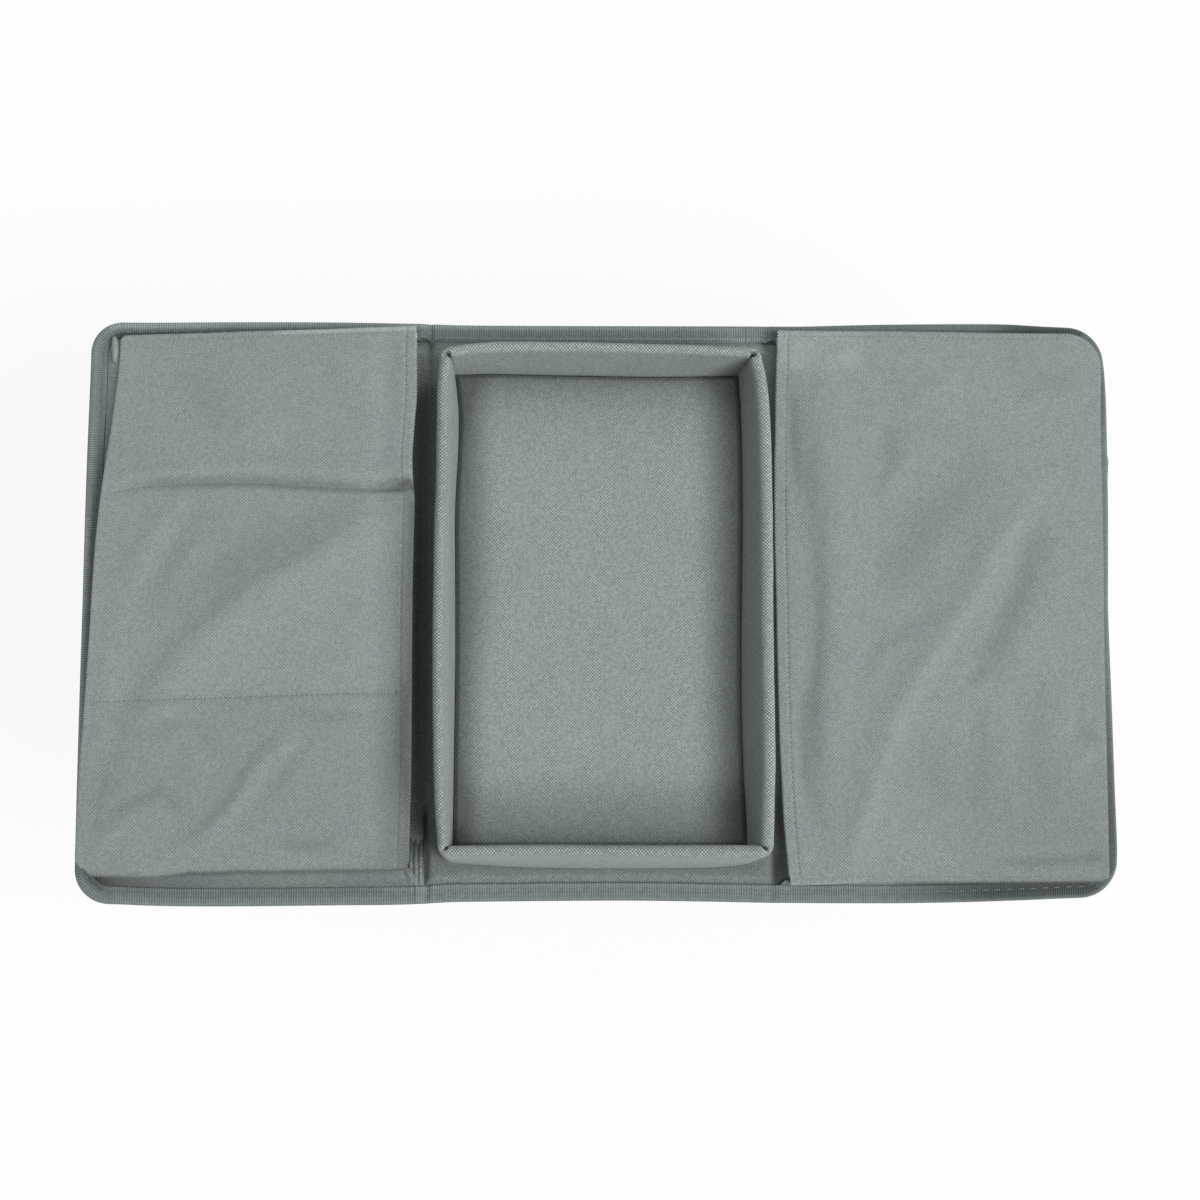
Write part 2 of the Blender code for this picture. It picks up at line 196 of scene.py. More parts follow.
# Yarns, ribs, the thread's twist and the grip cloth's dots
weave_pitch = 0.00090
yarn_drift = 0.00026
slub_scale = (60.0, 700.0, 0)
rib_pitch = 0.00130
rib_thread_pitch = 0.00110
twist_length, twist_girth = 0.0007, 0.0016
dot_columns, dot_rows = 0.0046, 0.0040
grip_pitch = 0.0006

millimetre = 0.001


def mix(start, end, share):
    return start + (end - start) * share


def spread(start, end, steps):
    return [mix(start, end, step / steps) for step in range(steps + 1)]


def ease(share):
    """A soft step from 0 to 1."""
    share = min(max(share, 0), 1)
    return share * share * (3 - 2 * share)


def climb(place, start, run):
    """A soft step from 0 to 1 that begins at the start."""
    return ease((place - start) / run)


def fall(place, start, run):
    """A soft step from 1 to 0 that begins at the start."""
    return 1 - climb(place, start, run)


def bell(distance, width):
    return 2.718 ** -((distance / width) ** 2)


def fading(distance, reach):
    return 2.718 ** (-distance / reach)


def track(table, place):
    """A smooth value through (place, value) pairs."""
    if place <= table[0][0]:
        return table[0][1]
    for (low, start), (high, end) in zip(table, table[1:]):
        if place <= high:
            return mix(start, end, ease((place - low) / (high - low)))
    return table[-1][1]


def curve(table, place):
    """A flowing line through (place, value) pairs."""
    last = len(table) - 1
    if place <= table[0][0]:
        return table[0][1]
    if place >= table[last][0]:
        return table[last][1]
    right = next(number for number in range(1, last + 1) if place <= table[number][0])
    left = right - 1

    def slope(number):
        before, after = max(number - 1, 0), min(number + 1, last)
        return (table[after][1] - table[before][1]) / (table[after][0] - table[before][0])

    span = table[right][0] - table[left][0]
    t = (place - table[left][0]) / span
    start, end = table[left][1], table[right][1]
    lead, trail = slope(left) * span, slope(right) * span
    squared, cubed = t * t, t * t * t
    held = (2 * cubed - 3 * squared + 1) * start + (3 * squared - 2 * cubed) * end
    return held + (cubed - 2 * squared + t) * lead + (cubed - squared) * trail


def waver(x, y, size, salt=0.0):
    """Smooth unevenness from -1 to 1, with features of that size."""
    return noise.noise(Vector((x / size, y / size, salt)))


def stations(start, end, step, fine=()):
    """Places a step apart, with closer ones about each fine place: its middle, reach and step."""
    places = spread(start, end, max(round((end - start) / step), 1))
    for middle, reach, close in fine:
        places += spread(middle - reach, middle + reach, round(2 * reach / close))
    kept = []
    for place in sorted(place for place in places if start <= place <= end):
        if not kept or place - kept[-1] > step / 40:
            kept.append(place)
    kept[-1] = end
    return kept


# Meshes


def measured(path):
    """Distances along a path of points."""
    reached = [0.0]
    for start, end in zip(path, path[1:]):
        reached.append(reached[-1] + (Vector(end) - Vector(start)).length)
    return reached


def path_coords(rows, closed=False):
    """Each grid point's place on the flat cloth, from the distances along rows and columns."""
    middle = rows[len(rows) // 2]
    across = measured(middle + middle[:1] if closed else middle)
    along = measured([row[len(row) // 2] for row in rows])
    return [[(u, v) for u in across] for v in along]


def plan_coords(rows):
    return [[(point[0], point[1]) for point in row] for row in rows]


def add_object(name, data):
    made = bpy.data.objects.new(name, data)
    bpy.context.scene.collection.objects.link(made)
    return made


def new_piece(name, points, faces, coords, material, values=None):
    """A mesh object with its cloth places as a UV map, and values per point such as its wear, painted
    highlights and painted shade.
    """
    mesh = bpy.data.meshes.new(name)
    mesh.from_pydata(points, [], faces)
    layer = mesh.uv_layers.new(name="cloth")
    for loop, place in zip(layer.data, coords):
        loop.uv = place
    for key, numbers in (values or {}).items():
        mesh.attributes.new(key, "FLOAT", "POINT").data.foreach_set("value", numbers)
    mesh.materials.append(material)
    mesh.shade_smooth()
    return add_object(name, mesh)


def add_grid(name, rows, coords, material, closed=False, **values):
    """A sheet through rows of points; closed joins each row's end to its start."""
    width = len(rows[0])
    faces, places = [], []
    for low in range(len(rows) - 1):
        for left in range(width if closed else width - 1):
            start, end, above = low * width + left, low * width + (left + 1) % width, width
            faces.append((start, end, end + above, start + above))
            right = left + 1
            places += [coords[low][left], coords[low][right], coords[low + 1][right], coords[low + 1][left]]
    points = [point for row in rows for point in row]
    flat_values = {key: [value for row in table for value in row] for key, table in values.items()}
    return new_piece(name, points, faces, places, material, flat_values)


def weld(piece):
    """Join points that coincide, such as those where two rolled edges meet at a corner."""
    joined = bmesh.new()
    joined.from_mesh(piece.data)
    bmesh.ops.remove_doubles(joined, verts=joined.verts, dist=0.000004)
    joined.to_mesh(piece.data)
    joined.free()


def thicken(piece, thickness, even=True):
    solidify = piece.modifiers.new("thickness", "SOLIDIFY")
    solidify.thickness = thickness
    solidify.offset = 0
    solidify.use_even_offset = even
    return piece


# Materials


class Number:
    """A number in a material's nodes; arithmetic on it adds further nodes."""

    def __init__(self, graph, socket):
        self.graph, self.socket = graph, socket

    def __add__(self, other):
        return self.graph.maths("ADD", self, other)

    def __sub__(self, other):
        return self.graph.maths("SUBTRACT", self, other)

    def __mul__(self, other):
        return self.graph.maths("MULTIPLY", self, other)

    def __truediv__(self, other):
        return self.graph.maths("DIVIDE", self, other)

    def __abs__(self):
        return self.graph.maths("ABSOLUTE", self)

    def scaled(self, factor, offset):
        return self.graph.maths("MULTIPLY_ADD", self, factor, offset)

    def wave(self, factor=pi):
        return self.graph.maths("SINE", self * factor)

    def floor(self):
        return self.graph.maths("FLOOR", self)

    def fraction(self):
        return self.graph.maths("FRACT", self)


class Graph:
    """A material and short calls that add its nodes."""

    def __init__(self, name):
        self.material = bpy.data.materials.new(name)
        self.material.use_nodes = True
        self.tree = self.material.node_tree
        self.shader = self.tree.nodes["Principled BSDF"]

    def node(self, kind, settings=None, **inputs):
        made = self.tree.nodes.new(kind)
        for key, value in (settings or {}).items():
            setattr(made, key, value)
        for key, value in inputs.items():
            self.feed(made.inputs[key.replace("_", " ")], value)
        return made

    def feed(self, socket, value):
        value = value.socket if isinstance(value, Number) else value
        if isinstance(value, bpy.types.NodeSocket):
            self.tree.links.new(value, socket)
        else:
            socket.default_value = value

    def operation(self, kind, name, *values):
        made = self.node(kind, {"operation": name})
        for socket, value in zip(made.inputs, values):
            self.feed(socket, value)
        return made.outputs[0]

    def maths(self, name, *values):
        return Number(self, self.operation("ShaderNodeMath", name, *values))

    def blend(self, share, low, high):
        made = self.node("ShaderNodeMix", {"data_type": "RGBA"}, Factor=share)
        for key, value in (("A", low), ("B", high)):
            socket = [entry for entry in made.inputs if entry.name == key and entry.type == "RGBA"][0]
            self.feed(socket, value if isinstance(value, bpy.types.NodeSocket) else (*value, 1))
        return [entry for entry in made.outputs if entry.type == "RGBA"][0]

    def dim(self, colour, factor):
        """A colour times a grey factor."""
        scaled = self.node("ShaderNodeVectorMath", {"operation": "SCALE"}, Vector=colour, Scale=factor)
        return scaled.outputs[0]

    def cloud(self, vector, scale, detail=2.0):
        made = self.node("ShaderNodeTexNoise", Vector=vector, Scale=scale, Detail=detail)
        return Number(self, made.outputs["Fac"])

    def cloth_place(self):
        return self.node("ShaderNodeUVMap", {"uv_map": "cloth"}).outputs[0]

    def body_place(self):
        return self.node("ShaderNodeTexCoord").outputs["Object"]

    def across_and_along(self, place):
        split = self.node("ShaderNodeSeparateXYZ", Vector=place)
        return Number(self, split.outputs["X"]), Number(self, split.outputs["Y"])

    def point_value(self, name):
        return Number(self, self.node("ShaderNodeAttribute", {"attribute_name": name}).outputs["Fac"])

    def speckled(self, tone, *speckles):
        """A tone with clouds laid over it, each by its amount to either side."""
        for speckle, amount in speckles:
            tone = speckle.scaled(amount, tone - amount / 2)
        return tone

    def used(self, tone, paling):
        """A tone paled by the given share where the cloth is worn and where a highlight is painted, then
        darkened by the painted shade; where the painted shading is below 0 it is painted light and pales the
        tone.
        """
        paled_tone = tone + self.point_value("wear") * paling
        return paled_tone * self.maths("SUBTRACT", 1.0, self.point_value("soil"))

    def relief(self, height, distance, strength=1.0):
        made = self.node("ShaderNodeBump", Height=height, Distance=distance, Strength=strength)
        self.feed(self.shader.inputs["Normal"], made.outputs[0])

    def finish(self, colour, roughness, sheen=0.0, gloss=0.3):
        self.feed(self.shader.inputs["Base Color"], colour)
        self.feed(self.shader.inputs["Roughness"], roughness)
        self.shader.inputs["Sheen Weight"].default_value = sheen
        self.shader.inputs["Sheen Roughness"].default_value = 0.45
        self.shader.inputs["Specular IOR Level"].default_value = gloss
        return self.material


def woven_cloth(name, colour, shade, contrast):
    """Plain weave: threads over and under each other, mottling, paler beads where worn, and the painted shade
    and painted light of each point.
    """
    graph = Graph(name)
    place = graph.cloth_place()
    uneven = graph.node("ShaderNodeTexNoise", Vector=place, Scale=240.0, Detail=2.0).outputs["Color"]
    drift = (yarn_drift, yarn_drift, 0)
    shifted = graph.operation("ShaderNodeVectorMath", "MULTIPLY_ADD", uneven, drift, place)
    warp, weft = [distance / weave_pitch for distance in graph.across_and_along(shifted)]
    over = warp.wave() * weft.wave()
    crown = abs(over)
    crossing = graph.node("ShaderNodeCombineXYZ", X=warp.floor(), Y=weft.floor()).outputs[0]
    yarn = Number(graph, graph.node("ShaderNodeTexWhiteNoise", Vector=crossing).outputs["Value"])
    slub = graph.cloud(graph.operation("ShaderNodeVectorMath", "MULTIPLY", place, slub_scale), 1.0)
    mottle = graph.cloud(place, 20.0, 3.0)
    patches = graph.cloud(place, 120.0)
    grain = graph.cloud(place, 480.0)
    fuzz = graph.cloud(place, 820.0, 1.0)

    tint = graph.blend(mottle.scaled(2.4, -0.7), colour, shade)
    tone = over.scaled(contrast * 0.8, 1.0)
    tone = yarn.scaled(0.7 * contrast, tone - 0.35 * contrast)
    tone = graph.speckled(tone, (slub, 0.05), (patches, 0.09), (grain, 0.14))
    beads = over * yarn.scaled(0.50, 0.18) + crown.scaled(0.20, -0.23)
    tone = graph.used(tone, fuzz.scaled(0.50, beads))
    graph.relief(grain.scaled(0.8, over.scaled(0.6, crown * 0.4)), 0.00016, 0.8)
    return graph.finish(graph.dim(tint, tone), crown.scaled(-0.10, 0.92), sheen=0.10, gloss=0.22)


def ribbed_tape(name, colour, shade):
    """Binding tape: ribs across its width, fine threads over them and a beaded edge."""
    graph = Graph(name)
    place = graph.cloth_place()
    along, across = graph.across_and_along(place)
    rib = (along / rib_pitch).wave(2 * pi)
    bead = rib * (across / rib_thread_pitch).wave()
    mottle = graph.cloud(place, 40.0, 3.0)
    blotch = graph.cloud(place, 260.0)
    grain = graph.cloud(place, 700.0)
    tint = graph.blend(mottle.scaled(2.0, -0.5), colour, shade)
    tone = bead.scaled(0.20, rib.scaled(0.20, 1.0))
    tone = graph.speckled(tone, (blotch, 0.55), (grain, 0.34))
    # Wear beads and painted highlights pale the ribs; painted shade darkens the tape.
    tone = graph.used(tone, rib.scaled(0.30, 0.40))
    graph.relief(grain.scaled(0.6, rib + bead * 0.6), 0.00013, 0.8)
    return graph.finish(graph.dim(tint, tone), 0.82, sheen=0.08, gloss=0.3)


def sewing_thread(name, colour):
    """Twisted polyester thread."""
    graph = Graph(name)
    along, around = graph.across_and_along(graph.cloth_place())
    twist = abs((along / twist_length + around / twist_girth).wave())
    tint = graph.blend(twist, [value * 0.72 for value in colour], colour)
    graph.relief(twist, 0.0001, 0.7)
    return graph.finish(tint, 0.6, sheen=0.1, gloss=0.4)


def grip_cloth(name, colour, dot_colour):
    """Dark backing cloth with staggered rows of small rubber dots."""
    graph = Graph(name)
    place = graph.cloth_place()
    across, along = graph.across_and_along(place)
    column, row = across / dot_columns, along / dot_rows
    odd = (row.floor() * 0.5).fraction()
    aside, above = (column + odd).fraction() - 0.5, row.fraction() - 0.5
    reach = graph.maths("SQRT", aside * aside + above * above)
    soft_edge = graph.node("ShaderNodeMapRange", {"interpolation_type": "SMOOTHSTEP"}, Value=reach)
    for key, value in (("From Min", 0.27), ("From Max", 0.20), ("To Min", 0.0), ("To Max", 1.0)):
        soft_edge.inputs[key].default_value = value
    dot = Number(graph, soft_edge.outputs["Result"])
    weave = abs(across.wave(pi / grip_pitch) * along.wave(pi / grip_pitch))
    tone = weave * 0.3 + graph.cloud(place, 260.0, 3.0).scaled(0.5, 0.6)
    ground = graph.node("ShaderNodeRGB").outputs[0]
    ground.default_value = (*colour, 1)
    tint = graph.blend(dot, graph.dim(ground, tone), dot_colour)
    graph.relief(weave * 0.25 + dot, 0.0005, 0.8)
    return graph.finish(tint, dot.scaled(-0.35, 0.88), gloss=0.35)


def grey_board(name, colour):
    """Stiffening board: pressed fibres in a flat grey sheet."""
    graph = Graph(name)
    place = graph.body_place()
    fibre = graph.cloud(place, 900.0, 4.0)
    tint = graph.blend(fibre, [value * 0.8 for value in colour], colour)
    graph.relief(fibre + graph.cloud(place, 160.0), 0.0001, 0.5)
    return graph.finish(tint, 0.8)


def soft_foam(name, colour):
    """Open foam: small cells in a pale block."""
    graph = Graph(name)
    cells = graph.node("ShaderNodeTexVoronoi", Vector=graph.body_place(), Scale=900.0).outputs["Distance"]
    tint = graph.blend(cells, [value * 0.7 for value in colour], colour)
    graph.relief(cells, 0.0004, 0.8)
    return graph.finish(tint, 0.95)


cloth_grey, cloth_blue = (0.272, 0.310, 0.300), (0.257, 0.294, 0.288)
cover_weave = woven_cloth("cover_weave", cloth_grey, cloth_blue, 0.44)
tray_weave = woven_cloth("tray_weave", cloth_grey, cloth_blue, 0.46)
pocket_weave = woven_cloth("pocket_weave", (0.259, 0.295, 0.286), (0.245, 0.280, 0.275), 0.36)
gusset_weave = woven_cloth("gusset_weave", (0.215, 0.247, 0.240), (0.198, 0.227, 0.230), 0.54)
tape_ribs = ribbed_tape("tape_ribs", (0.182, 0.214, 0.212), (0.162, 0.194, 0.196))
tape_thread = sewing_thread("tape_thread", (0.235, 0.272, 0.266))
seam_thread = sewing_thread("seam_thread", (0.19, 0.220, 0.216))
pale_thread = sewing_thread("pale_thread", (0.262, 0.300, 0.292))
grip_dots = grip_cloth("grip_dots", (0.075, 0.084, 0.084), (0.035, 0.038, 0.038))
board_fibre = grey_board("board_fibre", (0.36, 0.36, 0.35))
foam_cells = soft_foam("foam_cells", (0.52, 0.52, 0.50))


# Thread: short stitches that dive into the cloth at both ends


def walk(path, reached, distance):
    """The point at a distance along a path."""
    low, high = 0, len(path) - 1
    while high - low > 1:
        middle = (low + high) // 2
        if reached[middle] <= distance:
            low = middle
        else:
            high = middle
    span = reached[high] - reached[low]
    share = (distance - reached[low]) / span if span else 0
    return Vector(path[low]).lerp(Vector(path[high]), min(max(share, 0), 1))


def stitch_rings(path, reached, start, length, up):
    """Rings of one stitch, from where the thread comes up to where it goes down."""
    rings = []
    for share in (0, 0.12, 0.35, 0.65, 0.88, 1):
        place = start + share * length
        centre, ahead, behind = [walk(path, reached, place + off) for off in (0, length / 8, -length / 8)]
        forward = (ahead - behind).normalized()
        aside = forward.cross(Vector((0, 0, 1))).normalized()
        arch = sin(pi * share) ** 0.5
        centre = centre + Vector((0, 0, up * thread_radius * (1.5 * arch - 0.9)))
        width = thread_radius * mix(0.55, 1, arch)
        ring = []
        for side in range(thread_sides):
            angle = side * pi / (thread_sides / 2)
            ring.append(centre + aside * width * cos(angle) + Vector((0, 0, width * sin(angle) * 0.8)))
        rings.append((share * length, ring))
    return rings


def add_stitches(name, paths, stitch, material, up=1):
    """Rows of stitches, given by pitch and length, along paths on the cloth's surface."""
    pitch, length = stitch
    points, faces, places = [], [], []
    for path in paths:
        reached = measured(path)
        count = max(int(reached[-1] / pitch), 1)
        for number in range(count):
            start = (number + 0.5) * reached[-1] / count - length / 2
            rings = stitch_rings(path, reached, start, length, up)
            first = len(points)
            points += [tuple(point) for _, ring in rings for point in ring]
            for ring_number in range(len(rings) - 1):
                low = first + ring_number * thread_sides
                high = low + thread_sides
                here, there = rings[ring_number][0], rings[ring_number + 1][0]
                for side in range(thread_sides):
                    after = (side + 1) % thread_sides
                    faces.append((low + side, low + after, high + after, high + side))
                    turn, next_turn = side * thread_radius, (side + 1) * thread_radius
                    places += [(here, turn), (here, next_turn), (there, next_turn), (there, turn)]
            faces.append(tuple(first + side for side in reversed(range(thread_sides))))
            faces.append(tuple(high + side for side in range(thread_sides)))
            places += [(0, 0)] * 2 * thread_sides
    return new_piece(name, points, faces, places, material)


# Panels


def edge_half_depth(out):
    """Half the mat's depth at a distance from its middle: the wings are a little deeper."""
    return mix(centre_depth, wing_depth, climb(out, fold_x, depth_taper_run)) / 2


def corner_push(x, y):
    """How much fuller than a plain arc a corner of the mat is, as a move outwards."""
    aside = max(abs(x) - (outer_x - corner_radius), 0)
    ahead = max(abs(y) - (wing_depth / 2 - corner_radius), 0)
    if not aside or not ahead:
        return 0
    full = corner_fullness[(x > 0, y > 0)] * millimetre
    return full * sin(2 * atan2(ahead, aside)) * min(hypot(aside, ahead) / corner_radius, 1) / 2 ** 0.5


def lie(x, y):
    """Where a plan point of the mat lies once its edges run as the soft ones do."""
    edge_x = curve(right_edge if x > 0 else left_edge, y / millimetre) * millimetre
    edge_y = curve(rear_edge if y > 0 else front_edge, x / millimetre) * millimetre
    push = corner_push(x, y)
    move_x = (edge_x - outer_x) * climb(abs(x), *soft_sides) + push
    move_y = (edge_y - edge_half_depth(abs(x))) * climb(abs(y), *soft_ends) + push
    return x + (move_x if x > 0 else -move_x), y + (move_y if y > 0 else -move_y)


def edge_distance(out, y):
    """Distance in from the mat's bound edge."""
    aside = outer_x - out
    inside = edge_half_depth(out) - abs(y)
    if aside < corner_radius and inside < corner_radius:
        return corner_radius - hypot(corner_radius - aside, corner_radius - inside)
    return min(aside, inside)


def round_corner(near, far, radius, cut=0.0):
    """Move a point given by its distances from two edges, so that their corner becomes round.

    A cut above 0 makes the corner straighter, like one snipped off.
    """
    if radius <= 0 or near >= radius or far >= radius:
        return near, far
    a, b = radius - near, radius - far
    reach = max(a, b)
    share = min(a, b) / reach
    angle = share * pi / 4
    long, short = reach * cos(angle), reach * sin(angle)
    straight = 1 / (1 + share)
    long, short = mix(long, reach * straight, cut), mix(short, reach * share * straight, cut)
    if a >= b:
        return radius - long, radius - short
    return radius - short, radius - long


def wing_place(side, near, far, inset):
    """Plan point of a wing, from its distances to the outer and front edges of an inset outline."""
    along = wing_depth - 2 * inset
    radius = corner_radius - inset
    if far <= along / 2:
        near, far = round_corner(near, far, radius)
    else:
        near, far = round_corner(near, along - far, radius)
        far = along - far
    out = outer_x - inset - near
    return side * out, (2 * far / along - 1) * (edge_half_depth(out) - inset)


def crease(x):
    """Depth of the valley along each fold line, sharper at the left one."""
    side = -1 if x < 0 else 1
    width = crease_width if side < 0 else 1.4 * crease_width
    return bell(abs(x) - crease_x[side], width) * (1 if side < 0 else 0.6)


def cover_height(x, y):
    """Mid-surface of the top cloth: pinched at the bound edges and at the creases."""
    ramp = climb(edge_distance(abs(x), y), ramp_start, ramp_run)
    flat = cover_level + 0.00015 * (1 + waver(x, y, 0.035)) * ramp
    return mix(mix(cover_border, flat, ramp), cover_border + 0.0002, crease(x))


def cover_soil(x, y):
    """Painted shade beside the tray's feet, along the tape's inner edge, towards the front, and in the gaps
    and creases between the tray and the pockets; painted light on the strip at the rear left.
    """
    aside = max(abs(x) - 0.0875, abs(y) - 0.1425)
    soil = 0.26 * fading(max(aside, 0), 0.007)
    soil += (0.34 if y > 0 else 0.20) * bell(edge_distance(abs(x), y) - 0.0100, 0.0008)
    soil += 0.45 * bell(hypot(abs(x) - 0.0928, (y - 0.1485) / 1.6), 0.0032)
    if y < 0:
        soil += 0.16 * climb(-y, 0.130, 0.010)
    if x < 0:
        inside = climb(y, -0.136, 0.020) * fall(y, 0.112, 0.016)
        soil += 0.50 * inside * fall(x, -0.0985, 0.0080)
        soil += 0.58 * bell(x + 0.0934, 0.0017) * climb(-y, 0.106, 0.010) * fall(-y, 0.146, 0.006)
        soil += 0.12 * bell(x + 0.0905, 0.0030) * bell(y + 0.130, 0.010)
        soil -= 0.42 * climb(y, 0.120, 0.010) * fall(y, 0.143, 0.004) * climb(-x, 0.084, 0.003)
    else:
        soil += 0.62 * bell(x - 0.0962, 0.0036) * climb(-y, 0.085, 0.030) * fall(-y, 0.147, 0.006)
        soil += 0.42 * bell(x - 0.0908, 0.0036) * climb(y, 0.050, 0.040) * fall(y, 0.1405, 0.004)
    return min(soil, 0.8)


def backing_height(x, y):
    ramp = climb(edge_distance(abs(x), y), ramp_start, ramp_run)
    return mix(mix(backing_border, backing_level, ramp), backing_border, crease(x))


def panel_rows(side, height):
    """Grid of a panel's sheet, whose joint with the next one lies under the tray wall."""
    rim = ramp_start + ramp_run / 2 - panel_inset
    rows = []
    if side == 0:
        half = centre_depth / 2 - panel_inset
        rims = [(-half + rim, *ramp_mesh), (half - rim, *ramp_mesh)]
        ends = [(end * (piece_joint_x - joint_mesh[0]), *joint_mesh) for end in (-1, 1)]
        for x in stations(-piece_joint_x, piece_joint_x, grid_step, ends):
            rows.append([(x, y, height(x, y)) for y in stations(-half, half, grid_step, rims)])
        return rows
    reach = outer_x - panel_inset - piece_joint_x
    along = wing_depth - 2 * panel_inset
    rims = ((rim, *ramp_mesh), (along - rim, *ramp_mesh))
    fold = (outer_x - panel_inset - fold_x, *fold_mesh)
    end = (reach - joint_mesh[0], *joint_mesh)
    for near in stations(0, reach, grid_step, (rims[0], fold, end)):
        places = [wing_place(side, near, far, panel_inset) for far in stations(0, along, grid_step, rims)]
        rows.append([(x, y, height(x, y)) for x, y in places])
    return rows


def laid(rows):
    """Rows of mat points with their edges moved to where the soft ones run."""
    return [[(*lie(point[0], point[1]), point[2]) for point in row] for row in rows]


def across_crease(piece):
    """Bake a piece's place into its mesh where it crosses the crease between the centre panel and a wing."""
    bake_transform(piece)


def settle(piece, place, slot, *nodes):
    """Attach a piece to its body, or bake its place where it crosses a side's crease, and hide the parts that
    it stands for.
    The slot is not used.
    """
    if place in (-1, 1):
        across_crease(piece)
    else:
        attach(piece, place)
    if nodes:
        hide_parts(*nodes)


def show_board(node):
    """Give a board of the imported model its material."""
    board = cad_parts[node]
    board.data.materials.clear()
    board.data.materials.append(board_fibre)


def add_panel(prefix, side):
    for kind, height, material, slot in (
        ("cover", cover_height, cover_weave, "cover_cloth"),
        ("backing", backing_height, grip_dots, "grip_cloth"),
    ):
        rows = panel_rows(side, height)
        # The cover carries its painted shade and painted light per point.
        marks = {"soil": [[cover_soil(x, y) for x, y, _ in row] for row in rows]} if kind == "cover" else {}
        piece = add_grid(f"{prefix}_{kind}_cloth", laid(rows), plan_coords(rows), material, **marks)
        thicken(piece, cloth)
        settle(piece, side or "center", slot, f"{prefix}_{kind}")
    show_board(f"{prefix}_board")


# Binding tape


def tape_top(x, y):
    """Level of the tape's upper half: it climbs over the gusset on the wings and dips at a crease."""
    out = abs(x)
    level = mix(tape_top_centre, tape_top_wing, climb(out, 0.0885, 0.010))
    if x < 0:
        level += 0.0007 * bell(out - 0.0978, 0.0012) + 0.0005 * bell(out - 0.1010, 0.0010)
        level += 0.0005 * bell(out - 0.0893, 0.0012)
    return level - 0.0012 * crease(x) + 0.00012 * waver(x, y, 0.012, 3)


def tape_section(top, lift):
    """The folded tape from its upper to its lower inner edge, as distance in and level."""
    bend = (top - tape_low) / 2
    middle = (top + tape_low) / 2
    turn_inset = tape_thickness / 2 + bend
    upper = []
    for inset in spread(tape_flange, turn_inset, 9)[:-1]:
        upper.append((inset, top - 0.00025 * bell(inset - tape_stitch_inset, 0.0012)))
    turn = []
    for angle in spread(pi / 2, -pi / 2, 8):
        turn.append((tape_thickness / 2 + bend * (1 - cos(angle)), middle + bend * sin(angle)))
    lower = [(inset, tape_low) for inset in spread(turn_inset, tape_flange, 5)[1:]]
    section = upper + turn + lower
    lifted = []
    for number, (inset, level) in enumerate(section):
        lifted.append((inset - lift * sin(pi * number / len(section)), level + lift))
    return lifted


def wing_outline(side):
    """The mat's edge round a wing as plan points with the way in: front, outer edge, rear."""
    middle_x, middle_y = outer_x - corner_radius, wing_depth / 2 - corner_radius
    fine = ((fold_x + 0.001, 0.009, 0.0005), (piece_joint_x + joint_mesh[0], *joint_mesh))
    outs = stations(piece_joint_x, middle_x, tape_step, fine)
    front = [(side * out, -edge_half_depth(out), 0, 1) for out in outs]
    for angle in spread(pi / 2, 0, 16)[1:-1]:
        away, down = cos(angle), sin(angle)
        x, y = middle_x + corner_radius * away, -middle_y - corner_radius * down
        front.append((side * x, y, -side * away, down))
    outer = [(side * outer_x, y, -side, 0) for y in stations(-middle_y, middle_y, tape_step)]
    return front + outer + [(x, -y, away, -down) for x, y, away, down in reversed(front)]


def centre_outline(end):
    fine = [(side * (piece_joint_x - joint_mesh[0]), *joint_mesh) for side in (-1, 1)]
    places = stations(-piece_joint_x, piece_joint_x, tape_step, fine)
    return [(x, end * edge_half_depth(abs(x)), 0, -end) for x in places]


def tape_lap(side, x, y):
    """The tape's end laps over its start, halfway along the right wing's outer edge."""
    if side < 1 or abs(x) < outer_x - 0.0001:
        return 0
    return 0.0005 * climb(y, 0.0716, 0.0130) * fall(y, 0.0846, 0.0005)


def tape_bulge(x, y):
    """How much further in the upper half reaches: less at the rear, more where a crease bunches it."""
    if y < 0:
        return 0
    short = -0.0009 * ease((0.104 - abs(x)) / 0.008)
    return short + 0.0021 * bell(x + 0.0914, 0.0018) + 0.0012 * bell(x - 0.0925, 0.0016)


def tape_rows(side, outline):
    rows = []
    for x, y, way_x, way_y in outline:
        edge_waver = 0.00025 * waver(x, y, 0.018, 7)
        section = tape_section(tape_top(x, y), tape_lap(side, x, y))
        row = []
        for number, (inset, level) in enumerate(section):
            shift = edge_waver
            if number < len(section) / 2:
                shift += tape_bulge(x, y)
            shift *= climb(inset, 0.005, 0.004)
            place = lie(x + way_x * (inset + shift), y + way_y * (inset + shift))
            row.append((*place, level))
        rows.append(row)
    return rows


def tape_coords(rows, outline):
    """Along the tape and across it, with the ribs square to the edge."""
    reached = measured([(x + way_x * 0.005, y + way_y * 0.005, 0) for x, y, way_x, way_y in outline])
    across = measured(rows[len(rows) // 2])
    return [[(place, width) for width in across] for place in reached]


def tape_stitch_paths(side, outline):
    top, bottom = [], []
    for x, y, way_x, way_y in outline:
        inset = tape_stitch_inset + 0.0002 * waver(x, y, 0.03, 11)
        place = lie(x + way_x * inset, y + way_y * inset)
        top.append((*place, tape_top(x, y) + tape_lap(side, x, y) + tape_thickness / 2 - 0.00015))
        bottom.append((*place, tape_low - tape_thickness / 2 + 0.0003))
    return top, bottom


def tape_wear(x, y, way_x, number, count):
    """Paler beads along both edges of the tape, twice as pale at the rear middle as painted light against the
    tray wall's shadow, and a painted highlight along the tape's outer roll at the left edge and the rear.
    """
    selvedge = mix(2.0, 1.0, climb(abs(x), 0.080, 0.006)) if y > 0 else 1.0
    fold = fall(x, -0.06, 0.24) if y > 0 else 0
    if way_x > 0.5 and x < 0:
        fold = 1.25 * climb(y, -0.145, 0.030) * (1 - 0.75 * climb(y, 0.030, 0.045))
    return selvedge * bell(number, 1.1) + bell(count - 1 - number, 1.3) + 1.5 * fold * bell(number - 10, 2.0)


